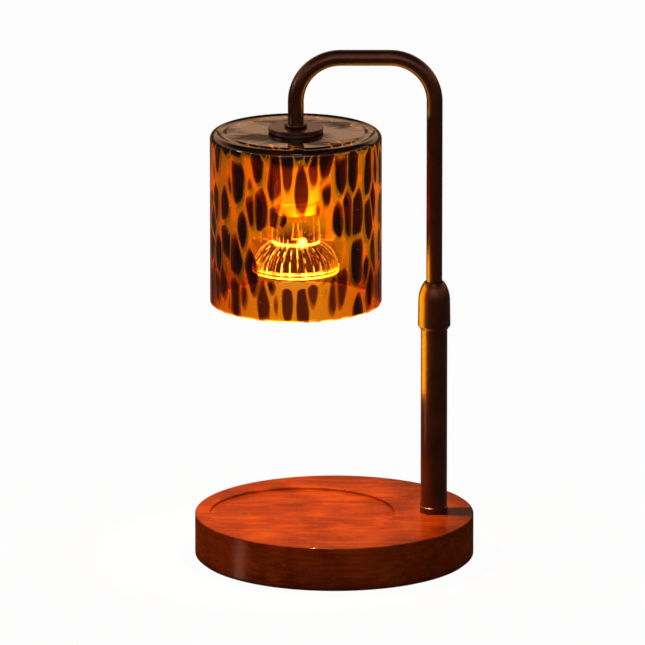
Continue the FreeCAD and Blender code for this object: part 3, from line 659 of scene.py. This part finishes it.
@dataclass(frozen=True)
class PaintedGlintGlass(Finish):
    """Clear pressed glass of a lit bulb, fire-polished and a little wavy from the mould.

    Golden streaks on ribs, beads and edges, between clear glass, are painted glints: an emission that stands
    in for the coil's light caught in the glass.
    """

    name: str = "clear_pressed_glass"
    tint: str = "#fff3dc"
    # colours of the painted glints, from faint to bright
    heat: Stops = ((0.0, "#ffb437"), (1.0, "#fff4d8"))
    wave: float = 3.5 * MM
    wave_depth: float = 0.3 * MM
    relief: float = 0.15
    axis_x: float = -22.4 * MM
    low: float = 171.5 * MM
    high: float = 207.0 * MM

    # Levels of the painted glints along the height, from low to high.
    streaks: Stops = ((0.0, 0.0), (1.0, 0.0))
    rings: Stops = ((0.0, 0.0), (1.0, 0.0))
    streak_strength: float = 0.0
    ring_strength: float = 0.0

    ribs: int = 32
    sharp: float = 0.4  # the higher, the thinner a rib's painted glint line
    dim_side: float = 1.0  # share of the ribs' painted glints kept on the right, a painted shade
    dim_way: Pair = (-8 * MM, 12 * MM)
    patch: float = 3 * MM  # of the uneven painted glints on ribs and rings
    rib_patch_edge: Pair = (0.42, 0.66)
    ring_patch_edge: Pair = (0.35, 0.65)
    ring_least: float = 0.15  # what a ring's painted glint keeps where it is dim
    # a painted bright outline where the glass is seen at a slant
    edge_strength: float = 0.0
    edge_power: float = 8.0  # the higher, the thinner the painted bright outline
    hot_place: Point = (3.6 * MM, 12.5 * MM, 192 * MM)  # a painted hot spot where the coil would shine through, front and back
    hot_reach: float = 4 * MM
    hot_strength: float = 0.0

    def streak(self, parts: Outputs, height: Socket, patches: Socket) -> Socket:
        """Draw the ribs' painted glint lines.

        Args:
            parts: The place from the axis, taken apart.
            height: 0 to 1 over the piece.
            patches: Clouds that break the lines up.

        Returns:
            The emission strength.
        """
        angle = calc("ARCTAN2", parts[1], parts[0])
        wave = calc("SINE", calc("MULTIPLY", angle, float(self.ribs)))
        streak = span(wave, self.sharp, 1.0, kind="SMOOTHSTEP")
        patch = span(patches, *self.rib_patch_edge, kind="SMOOTHSTEP")
        side = span(parts[0], *self.dim_way, self.streak_strength, self.streak_strength * self.dim_side)
        for level in (patch, ramp(height, self.streaks), side):
            streak = calc("MULTIPLY", streak, level)
        return streak

    def painted_glints(self, place: Socket) -> Socket:
        """Draw the painted glints: how brightly each place emits.

        Args:
            place: Object coordinates, in metres.

        Returns:
            The emission strength.
        """
        parts = apart(from_axis(place, self.axis_x))
        height = span(parts[2], self.low, self.high)
        patches = noise(stretched(place, (1.0, 1.0, 0.3)), self.patch, 3.0)
        uneven = span(patches, *self.ring_patch_edge, self.ring_least)
        ring = calc("MULTIPLY", ramp(height, self.rings), uneven)
        folded = add(place, "CombineXYZ", {0: parts[0], 1: calc("ABSOLUTE", parts[1]), 2: parts[2]})[0]
        near = span(vector("DISTANCE", folded, self.hot_place), self.hot_reach, 0.0)
        painted_glints = self.streak(parts, height, patches)
        for light, strength in ((ring, self.ring_strength),
                                (calc("POWER", near, 3.0), self.hot_strength),
                                (calc("POWER", slant_of(place), self.edge_power), self.edge_strength)):
            painted_glints = calc("MULTIPLY_ADD", light, strength, painted_glints)
        # The painted glints stay off the far half: it is only seen through the glass.
        normal = add(place, "NewGeometry")["Normal"]
        turned = add(place, "VectorTransform", {0: normal}, vector_type="NORMAL", convert_from="WORLD",
                     convert_to="OBJECT")[0]
        near_half = calc("GREATER_THAN", vector("DOT_PRODUCT", turned, level_part(parts)), 0.0)
        return calc("MULTIPLY", painted_glints, near_half)

    def surface(self, place: Socket) -> Socket:
        """Draw wavy clear glass that lets lamps through, with painted glints, an emission, where light would
        gather.

        Args:
            place: Object coordinates, in metres.

        Returns:
            The surface's shader.
        """
        painted_glints = self.painted_glints(place)
        tint = linear(self.tint)
        glass = add(place, "BsdfPrincipled", {
            "Base Color": tint, "Roughness": 0.015, "IOR": 1.5, "Transmission Weight": 1.0,
            "Normal": emboss(noise(place, self.wave), self.relief, self.wave_depth),
            "Emission Color": ramp(painted_glints, self.heat), "Emission Strength": painted_glints})[0]
        return let_lamps_through(glass, tint)


@dataclass(frozen=True)
class Mottled(Finish):
    """A material of one colour whose tone, gloss and skin vary a little over its surface."""

    low: str
    high: str
    gloss: Pair
    grain: float
    metallic: float = 0.0
    cloud: float = 8.0 * MM
    stretch: Point = (1.0, 1.0, 1.0)
    relief: float = 0.1
    depth: float = 0.1 * MM
    coat: float = 0.0
    soft: float = 0.0
    thread: float = 0.0  # pitch of a thread round a vertical axis

    def surface(self, place: Socket) -> Socket:
        """Draw clouds of tone over a fine grain.

        Args:
            place: Object coordinates, in metres.

        Returns:
            The surface's shader.
        """
        grain = noise(stretched(place, self.stretch), self.grain, 3.0)
        tone = calc("MULTIPLY", calc("ADD", grain, noise(place, self.cloud, 3.0)), 0.5)
        skin = emboss(grain, self.relief, self.depth)
        if self.thread:
            flanks = add(place, "TexWave", {"Vector": place, "Scale": WAVE_SCALE / self.thread},
                         wave_type="BANDS", bands_direction="Z", wave_profile="TRI")["Fac"]
            skin = emboss(flanks, 0.9, 0.5 * self.thread, Normal=skin)
        return add(place, "BsdfPrincipled", {
            "Base Color": ramp(tone, ((0.35, self.low), (0.65, self.high))),
            "Metallic": self.metallic, "Roughness": span(grain, 0.3, 0.7, *self.gloss), "Normal": skin,
            "Coat Weight": self.coat, "Coat Roughness": 0.08, "Subsurface Weight": self.soft,
            "Subsurface Radius": (1.0, 0.8, 0.6), "Subsurface Scale": 1.0 * MM})[0]


@dataclass(frozen=True)
class GlowingTungsten(Finish):
    """Drawn tungsten wire at white heat, in places a little cooler and redder."""

    name: str = "glowing_tungsten_wire"
    metal: str = "#6b6660"
    heat: Stops = ((0.25, "#ff9b3c"), (0.5, "#ffe6b4"))
    strength: float = 60.0
    patch: float = 2 * MM

    def surface(self, place: Socket) -> Socket:
        """Draw the glow.

        Args:
            place: Object coordinates, in metres.

        Returns:
            The surface's shader.
        """
        return add(place, "BsdfPrincipled", {
            "Base Color": linear(self.metal), "Metallic": 1.0, "Roughness": 0.4,
            "Emission Color": ramp(noise(place, self.patch), self.heat),
            "Emission Strength": self.strength})[0]


# EVA foam and moulded rubber: dull, with a fine open grain.
RUBBER = Mottled("moulded_black_rubber", "#0d0c0c", "#1b1918", (0.6, 0.8), 0.5 * MM, relief=0.35,
                 depth=0.15 * MM)
# Zinc-plated steel: pale blue-grey, faintly crystalline.
ZINC = Mottled("zinc_plated_steel", "#9c9fa3", "#c3c6ca", (0.24, 0.42), 0.7 * MM, 1.0, relief=0.05)
# Turned brass: its lathe lines lie in thin flat layers.
BRASS = Mottled("turned_brass", "#a8823c", "#c9a455", (0.22, 0.36), 0.4 * MM, 1.0,
                stretch=(0.1, 0.1, 1.0), relief=0.08)
# Moulded nylon: milky, see-through at its edges.
NYLON = Mottled("moulded_nylon", "#d9d2c2", "#e6e0d2", (0.4, 0.5), 0.6 * MM, soft=0.3)
# Moulded silicone rubber: cloudy white, soft sheen.
SILICONE = Mottled("moulded_silicone", "#c4c2bc", "#d8d6d0", (0.35, 0.5), 0.5 * MM, soft=0.5)
# White-glazed steatite: glassy, with faint warm clouds.
CERAMIC = Mottled("glazed_steatite", "#e6dcc8", "#f4eee0", (0.14, 0.24), 0.9 * MM, relief=0.06, coat=0.5)
# Rolled phosphor bronze: reddish, with lines along the strip.
CONTACT = Mottled("rolled_phosphor_bronze", "#a4663c", "#c58351", (0.2, 0.34), 0.4 * MM, 1.0,
                  stretch=(1.0, 0.15, 1.0), relief=0.06)
# Nickel-plated brass pins: warm silver, polished.
NICKEL = Mottled("nickel_plated_brass", "#b8b2a6", "#d2cdc2", (0.12, 0.22), 0.5 * MM, 1.0, relief=0.04)


# ------------ stage
@dataclass(frozen=True)
class Panel:
    """A rectangle that faces its aim."""

    name: str
    place: Point
    width: float
    height: float
    power: float  # a light's watts, or a card's brightness
    colour: str = "#ffffff"
    aim: Point = (0.0, 0.0, 0.13)


@dataclass(frozen=True)
class SoftBox(Panel):
    """A rectangular light."""

    def hang(self) -> Piece:
        """Hang it up and return it."""
        light = new_light(self.name, "AREA", self.place, self.power, self.colour)
        light.data.shape = "RECTANGLE"
        light.data.size, light.data.size_y = self.width, self.height
        light.rotation_euler = facing(self.place, self.aim)
        return light


@dataclass(frozen=True)
class Card(Panel):
    """A pale card that only shows in glossy faces."""

    graded: bool = False  # fades out towards its edges

    def hold(self) -> None:
        """Hold it up."""
        focus()
        bpy.ops.mesh.primitive_plane_add(size=1, location=self.place,
                                         rotation=facing(self.place, self.aim, "Z"))
        sheet = bpy.context.object
        sheet.name = self.name
        sheet.scale = (self.width, self.height, 1)
        material, tree = blank_material(self.name)
        level: Level = self.power
        if self.graded:
            middle = stretched(add(tree, "TexCoord")["Object"], (2.0, 2.0, 2.0))
            fade = add(tree, "TexGradient", {"Vector": middle}, gradient_type="QUADRATIC_SPHERE")
            level = calc("MULTIPLY", fade["Fac"], self.power)
        pale = add(tree, "Emission", {"Color": linear(self.colour), "Strength": level})[0]
        add(tree, "OutputMaterial", {"Surface": pale})
        material.cycles.emission_sampling = "NONE"
        sheet.data.materials.append(material)
        sheet.visible_camera = sheet.visible_diffuse = sheet.visible_transmission = False
        sheet.visible_shadow = False


@dataclass
class Studio:
    """A pale floor, a white surround, soft boxes and cards."""

    floor_half: float = 9.0
    floor_gap: float = 0.2 * MM  # keeps the floor clear of the pad's underside
    floor_colour: str = "#e9e8e6"
    floor_white: float = 0.97  # share of plain white that eye and glass see of the floor
    ambient: float = 0.13
    # The surround in reflections, from below to overhead: bright just above the horizon.
    mirrored: Stops = ((0.46, 0.12), (0.56, 0.14), (0.600, 0.25), (0.623, 1.2), (0.70, 1.2), (0.82, 0.06))
    mirrored_colour: str = "#ffc499"
    boxes: tuple[SoftBox, ...] = (
        SoftBox("overhead_box", (-0.25, -0.1, 1.5), 1.2, 1.2, 3.6),
        SoftBox("front_box", (-0.35, -1.5, 0.95), 0.42, 0.42, 1.3),
        SoftBox("left_strip", (-1.25, -0.15, 0.30), 0.35, 0.9, 2.0, "#ffc08c"),
        SoftBox("right_strip", (1.2, 0.32, 0.35), 0.25, 0.8, 0.15),
    )
    cards: tuple[Card, ...] = (
        Card("plinth_card", (-1.20, -0.14, -0.37), 0.46, 0.30, 30.0, "#ffb28c", graded=True),
        Card("shoulder_card", (-1.22, -0.20, 0.58), 0.24, 0.12, 18.0, "#fff4ea"),
        Card("dome_card", (0.0, -0.75, 1.2), 0.25, 0.16, 5.0, "#ffe6dc"),
        Card("front_card", (0.0, -1.40, 0.85), 1.2, 0.6, 2.2, "#ffd2be"),
    )

    def seen_directly(self, tree: Tree) -> tuple[Socket, Socket]:
        """Draw 1 for a ray from the eye or through glass, and 1 for a mirrored ray."""
        path = add(tree, "LightPath")
        return calc("MAXIMUM", path["Is Camera Ray"], path["Is Transmission Ray"]), path["Is Glossy Ray"]

    def lay_floor(self) -> None:
        """Lay the floor: white to the eye and in glass, shaded by the lamp, open from below."""
        focus()
        bpy.ops.mesh.primitive_plane_add(size=2 * self.floor_half, location=(0, 0, -self.floor_gap))
        floor = bpy.context.object
        floor.name = "studio_floor"
        material, tree = blank_material("matt_floor_sheet")
        seen, _ = self.seen_directly(tree)
        share = calc("MULTIPLY", seen, self.floor_white)
        paper = add(tree, "BsdfDiffuse", {"Color": linear(self.floor_colour)})[0]
        white = add(tree, "Emission", {"Color": linear("#ffffff"), "Strength": 1.0})[0]
        below = add(tree, "NewGeometry")["Backfacing"]
        nothing = add(tree, "BsdfTransparent")[0]
        sheet = mix_shaders(below, mix_shaders(share, paper, white), nothing)
        add(tree, "OutputMaterial", {"Surface": sheet})
        floor.data.materials.append(material)
        floor.visible_glossy = False

    def light_surround(self) -> None:
        """Make the surround: white to the eye and in glass, dimmer in mirrors and as light."""
        world = bpy.data.worlds.new("white_surround")
        bpy.context.scene.world = world
        world.use_nodes = True
        tree = world.node_tree
        tree.nodes.clear()
        seen, mirrored = self.seen_directly(tree)
        way = apart(add(tree, "TexCoord")["Generated"])
        gloss = ramp(span(way[2], -1.0, 1.0), self.mirrored)
        level = add(tree, "Mix", {0: mirrored, 2: self.ambient, 3: gloss}, data_type="FLOAT")[0]
        colour = blend(mirrored, "#ffffff", self.mirrored_colour)
        back = add(tree, "Background", {"Color": colour, "Strength": calc("MAXIMUM", level, seen)})[0]
        add(tree, "OutputWorld", {"Surface": back})

    def build(self) -> None:
        """Set up floor, surround and lights."""
        self.lay_floor()
        for card in self.cards:
            card.hold()
        self.light_surround()
        for box in self.boxes:
            box.hang().visible_glossy = False
        log.info("studio: floor, surround, %d soft boxes and %d cards", len(self.boxes), len(self.cards))


@dataclass
class Camera:
    """A long lens, in front of the lamp and a little above it."""

    target: Point = (-0.0069, 0.0, 0.1403)
    distance: float = 7.0
    elevation: float = 14.45
    field_width: float = 0.3761
    sensor: float = 36.0
    far: float = 100.0

    def build(self) -> None:
        """Set up the camera and make it the scene's."""
        data = bpy.data.cameras.new("long_lens")
        data.sensor_width = self.sensor
        data.lens = self.sensor * self.distance / self.field_width
        data.clip_end = self.far
        camera = new_object("camera", data)
        rise = math.radians(self.elevation)
        back = Vector((0, -math.cos(rise), math.sin(rise)))
        camera.location = Vector(self.target) + back * self.distance
        camera.rotation_euler = facing(back, (0, 0, 0))
        bpy.context.scene.camera = camera
        log.info("camera: lens %.0f mm", data.lens)


# ------------ sub-assemblies
class SubAssembly:
    """Pieces that belong together. Subclasses give finishes and may model new pieces."""

    title: str = "sub-assembly"

    def finishes(self) -> dict[str, Finish]:
        """The finish of each CAD node."""
        raise NotImplementedError

    def dress(self) -> None:
        """Give the sub-assembly's CAD nodes their finishes."""
        for node, finish in self.finishes().items():
            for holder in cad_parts[node].material_slots:
                holder.material = material_of(finish)
            log.info("%s: %s, %s", self.title, node, finish.name)

    def put_in(self, pieces: Sequence[Piece], name: str, finish: Finish, slot: str, body: Body,
               node: str) -> None:
        """Join new pieces and put them in a CAD node's place.

        Args:
            pieces: The new mesh objects.
            name: Their name when joined.
            finish: Their finish.
            slot: A material slot's name; not used.
            body: The body they move with.
            node: The CAD node they stand for.
        """
        focus(*pieces)
        bpy.ops.object.join()
        joined = pieces[0]
        joined.name = name
        joined.data.materials.clear()
        joined.data.materials.append(material_of(finish))
        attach(joined, body.value)
        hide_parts(node)
        log.info("%s: %s, %s", self.title, name, finish.name)

    def build(self) -> None:
        """Make the sub-assembly."""
        self.dress()


@dataclass
class Plinth(SubAssembly):
    """The stained wooden base with its pad and cord bush."""

    title: str = "plinth"
    fibre: float = 1.7 * MM  # of the wood

    def finishes(self) -> dict[str, Finish]:
        """Stained wood, and rubber below and behind it."""
        return {"base_block": StainedWood(fibre=self.fibre), "anti_slip_pad": RUBBER, "cord_grommet": RUBBER}


@dataclass
class TubeWork(SubAssembly):
    """Lacquered tubes and turned parts, held together by threaded rods."""

    cloud: float = 14 * MM  # of the lacquer's tone
    pitch: float = 1.0 * MM  # of the rods' threads

    def bronze(self) -> Finish:
        """The tubes' lacquer."""
        return BronzeLacquer(cloud=self.cloud)

    def thread(self) -> Finish:
        """The rods' plated thread."""
        return replace(ZINC, name="zinc_plated_thread", thread=self.pitch)


@dataclass
class Pole(TubeWork):
    """The fixed tube, its foot and the height lock."""

    title: str = "pole"

    def finishes(self) -> dict[str, Finish]:
        """Lacquered outside, plated below the wood, brass and nylon in the lock."""
        bronze = self.bronze()
        return {"foot_ferrule": bronze, "foot_nipple": self.thread(), "foot_washer": ZINC, "foot_nut": ZINC,
                "outer_tube": bronze, "guide_bush": BRASS, "lock_collar": bronze, "clamp_sleeve": NYLON}


@dataclass
class Arm(TubeWork):
    """The gooseneck with the bead, disc and rod that carry the shade."""

    title: str = "arm"

    def finishes(self) -> dict[str, Finish]:
        """Lacquered like the pole, with a plated rod and a nylon end bush."""
        bronze = self.bronze()
        return {"arm_tube": bronze, "slide_bush": NYLON, "stem_bead": bronze,
                "hanger_nipple": self.thread(), "shade_disc": bronze}


@dataclass
class Shade(SubAssembly):
    """The spotted glass drum with its gaskets, washer and nut."""

    title: str = "shade"
    wall: float = 3 * MM
    clear_height: float = 40 * MM  # of the thinly spotted place on the front, over the mouth

    def finishes(self) -> dict[str, Finish]:
        """The glass pattern is laid round the drum's own wall."""
        low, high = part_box("shade_glass")
        radius = (high.x - low.x) / 2
        glass = TortoiseGlass(axis_x=(low.x + high.x) / 2, wall_radius=radius - self.wall / 2,
                              top=high.z, mouth=low.z, window=(0.0, -radius, low.z + self.clear_height))
        return {"shade_glass": glass, "upper_gasket": SILICONE, "lower_gasket": SILICONE,
                "shade_washer": ZINC, "shade_nut": ZINC}


@dataclass
class LampHolder(SubAssembly):
    """The ceramic holder, its cap, blades and two screws."""

    title: str = "lamp holder"
    head_height: float = 1.8 * MM
    head_radius: float = 2.7 * MM
    head_corners: int = 40
    shank_radius: float = 1.5 * MM
    edge_round: float = 0.8 * MM
    recess_reach: float = 1.5 * MM
    recess_width: float = 0.55 * MM
    recess_depth: float = 1.0 * MM

    def finishes(self) -> dict[str, Finish]:
        """Plated cap, glazed ceramic and bronze blades."""
        return {"holder_cap": ZINC, "lamp_holder": CERAMIC, "contact_left": CONTACT, "contact_right": CONTACT}

    def screw(self, place: Vector, length: float) -> Piece:
        """Model a pan-head screw with a cross recess.

        Args:
            place: Middle of the head's top.
            length: Length of the shank.

        Returns:
            The screw.
        """
        focus()
        bpy.ops.mesh.primitive_cylinder_add(
            vertices=self.head_corners, radius=self.head_radius, depth=self.head_height,
            location=place - Vector((0, 0, self.head_height / 2)))
        screw = settled()
        pick(screw, Pick.FACE, lambda face: face.normal.z < -0.9)
        bpy.ops.mesh.inset(thickness=self.head_radius - self.shank_radius)
        bpy.ops.mesh.extrude_region_move(TRANSFORM_OT_translate={"value": (0, 0, -length)})
        points = screw.data.vertices
        pick(screw, Pick.EDGE,
             lambda edge: min(points[end].co.z for end in edge.vertices) > place.z - 0.01 * MM)
        bpy.ops.mesh.bevel(offset=self.edge_round, segments=5, affect="EDGES")
        for turn in (0, math.pi / 2):
            focus()
            bpy.ops.mesh.primitive_cube_add(
                size=1, location=place, rotation=(0, 0, turn),
                scale=(2 * self.recess_reach, self.recess_width, 2 * self.recess_depth))
            cutter = settled()
            focus(screw)
            cut = screw.modifiers.new("recess", "BOOLEAN")
            cut.object, cut.operation, cut.solver = cutter, "DIFFERENCE", "EXACT"
            bpy.ops.object.modifier_apply(modifier=cut.name)
            bpy.data.objects.remove(cutter)
        close_up(screw)
        return screw

    def build(self) -> None:
        """Dress the nodes and put in the screws."""
        self.dress()
        low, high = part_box("holder_screws")
        place = Vector(((low.x + high.x) / 2, low.y + self.head_radius, high.z))
        front = self.screw(place, high.z - low.z - self.head_height)
        back = new_object("back_screw", front.data.copy())
        back.location.y = high.y - low.y - 2 * self.head_radius
        focus(back)
        settled()
        self.put_in([front, back], "cap_screws", ZINC, "zinc_steel", Body.ARM, "holder_screws")


@dataclass
class Bulb(SubAssembly):
    """The lit twist-lock reflector bulb and its light."""

    title: str = "bulb"
    ribs: int = 32
    turns: int = 9
    wire: float = 0.3 * MM
    lead: float = 0.45 * MM
    # How far each lead wire steps inward, and each step's share of its rise.
    lead_steps: tuple[Pair, ...] = ((0.0, 0.25), (0.30 * MM, 0.15), (0.30 * MM, 0.15), (0.0, 0.45))
    beam_power: float = 7.0
    beam_angle: float = 74.0
    beam_blend: float = 0.6
    beam_colour: str = "#ffecd0"
    glow_power: float = 0.4
    glow_colour: str = "#ffd79b"
    source_radius: float = 2.5 * MM
    # Light that the shade throws back on the holder, from four sides.
    bounce_power: float = 0.12
    bounce_size: float = 12 * MM
    bounce_radius: float = 24 * MM
    bounce_height: float = 195 * MM
    bounce_aim: float = 221 * MM
    # Light that leaves the shade towards the pole and the gooseneck.
    spills: tuple[SoftBox, ...] = (
        SoftBox("side_glow", (0.029, 0, 0.134), 24 * MM, 84 * MM, 0.085, "#ffb400", aim=(1.0, 0, 0.134)),
        SoftBox("top_glow", (0.024, 0, 0.262), 40 * MM, 14 * MM, 0.009, "#ffb400", aim=(0.024, 0, 1.0)),
    )

    def glass(self, node: str, name: str, **look: object) -> Finish:
        """Make a node's glass, whose painted glints follow the node's own axis and height."""
        low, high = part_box(node)
        return PaintedGlintGlass(name, axis_x=(low.x + high.x) / 2, low=low.z, high=high.z, **look)

    def finishes(self) -> dict[str, Finish]:
        """Glazed base, nickel pins, and glass with painted glints where the coil's light would gather."""
        # Painted glints at the rim's two beads, on the ribs and at the bulge over the waist.
        reflector = self.glass(
            "bulb_reflector", "pressed_reflector_glass", tint="#9a6c40", relief=0.04, ribs=self.ribs,
            sharp=0.78, streak_strength=22.0, ring_strength=70.0, hot_strength=150.0, edge_strength=8.0,
            dim_side=0.3,
            streaks=((0.0, 0.0), (0.14, 0.9), (0.2, 0.6), (0.42, 0.6), (0.52, 1.0), (0.6, 0.3),
                     (0.66, 0.03), (1.0, 0.03)),
            rings=((0.0, 0.0), (0.026, 0.0), (0.034, 1.0), (0.042, 1.0), (0.050, 0.01), (0.090, 0.01),
                   (0.098, 0.4), (0.108, 0.4), (0.116, 0.0), (0.495, 0.0), (0.51, 0.3), (0.535, 0.3),
                   (0.55, 0.0), (1.0, 0.0)))
        # The lens glows evenly: a painted glow.
        lens = self.glass("bulb_lens", "pressed_cover_glass", relief=0.05, ring_strength=0.3,
                          rings=((0.0, 1.0), (1.0, 1.0)))
        # Two long painted highlight lines, at its front right and back left.
        quartz = self.glass("bulb_capsule", "drawn_quartz", wave=6 * MM, relief=0.05, ribs=-2, sharp=0.86,
                            streak_strength=6.0, streaks=((0.0, 0.2), (0.35, 1.0), (1.0, 0.8)))
        return {"bulb_base": CERAMIC, "bulb_pins": NICKEL, "bulb_reflector": reflector,
                "bulb_lens": lens, "bulb_capsule": quartz}

    def coil(self, low: Vector, high: Vector, radius: float) -> Piece:
        """Wind the coil across the capsule.

        Args:
            low: Lowest corner of the CAD filament.
            high: Highest corner.
            radius: The coil's outer radius.

        Returns:
            The coil, on the capsule's axis.
        """
        length = high.x - low.x
        focus()
        bpy.ops.mesh.primitive_circle_add(
            vertices=8, radius=self.wire / 2, rotation=(math.pi / 2, 0, 0),
            location=(self.wire / 2 - length / 2, 0, radius - self.wire / 2))
        coil = settled()
        winding = coil.modifiers.new("winding", "SCREW")
        winding.axis = "X"
        winding.screw_offset = (length - self.wire) / self.turns
        winding.iterations = self.turns
        winding.steps = winding.render_steps = 20
        bpy.ops.object.modifier_apply(modifier=winding.name)
        coil.location = ((low.x + high.x) / 2, (low.y + high.y) / 2, low.z + radius)
        settled()
        close_up(coil)
        return coil

    def lead_wire(self, foot: Vector, high: float, side: int) -> Piece:
        """Bend one lead wire from the coil's end up to the pinch.

        Args:
            foot: Where it meets the coil.
            high: Height of the pinch.
            side: -1 for left, 1 for right.

        Returns:
            The wire.
        """
        focus()
        bpy.ops.mesh.primitive_circle_add(vertices=12, radius=self.lead / 2, fill_type="NGON", location=foot)
        wire = settled()
        pick(wire, Pick.FACE, lambda face: True)
        for inward, share in self.lead_steps:
            bpy.ops.mesh.extrude_region_move(TRANSFORM_OT_translate={
                "value": (-side * inward, 0, share * (high - foot.z))})
        close_up(wire)
        return wire

    def wind(self) -> None:
        """Make the filament: coil and lead wires."""
        low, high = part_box("bulb_filament")
        radius = (high.y - low.y) / 2
        parts = [self.coil(low, high, radius)]
        for side, x in ((-1, low.x + self.lead), (1, high.x - self.lead)):
            parts.append(self.lead_wire(Vector((x, 0, low.z + radius)), high.z, side))
        self.put_in(parts, "wound_filament", GlowingTungsten(), "tungsten", Body.BULB, "bulb_filament")

    def carry(self, light: Piece) -> Piece:
        """Let a light ride with the bulb, itself unseen, and return it."""
        light.visible_camera = light.visible_transmission = False
        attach(light, Body.BULB.value)
        return light

    def light_up(self) -> None:
        """Put beam and glow at the coil, and the light thrown back round it."""
        low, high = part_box("bulb_filament")
        coil = Vector(((low.x + high.x) / 2, 0, low.z + (high.y - low.y) / 2))
        beam = self.carry(new_light("reflector_beam", "SPOT", coil, self.beam_power, self.beam_colour))
        beam.data.spot_size = math.radians(self.beam_angle)
        beam.data.spot_blend = self.beam_blend
        glow = self.carry(new_light("filament_glow", "POINT", coil, self.glow_power, self.glow_colour))
        beam.data.shadow_soft_size = glow.data.shadow_soft_size = self.source_radius
        for number in range(4):
            angle = math.radians(45 + 90 * number)
            place = Vector((coil.x + self.bounce_radius * math.cos(angle),
                            self.bounce_radius * math.sin(angle), self.bounce_height))
            bounce = self.carry(new_light(f"bounce_{number}", "AREA", place, self.bounce_power,
                                          self.glow_colour))
            bounce.data.shape = "DISK"
            bounce.data.size = self.bounce_size
            bounce.visible_glossy = False
            bounce.rotation_euler = facing(place, (coil.x, 0, self.bounce_aim))
        for spill in self.spills:
            self.carry(spill.hang())
        log.info("bulb: beam, glow, thrown-back and spilt light")

    def build(self) -> None:
        """Dress the bulb, wind its filament and light it."""
        self.dress()
        self.wind()
        self.light_up()


def main() -> None:
    """Build the scene."""
    logging.basicConfig(level=logging.INFO, format="%(message)s")
    bpy.context.scene.view_settings.view_transform = "Standard"
    Camera().build()
    Studio().build()
    for part in (Plinth(), Pole(), Arm(), Shade(), LampHolder(), Bulb()):
        part.build()


if __name__ == "__main__":
    main()
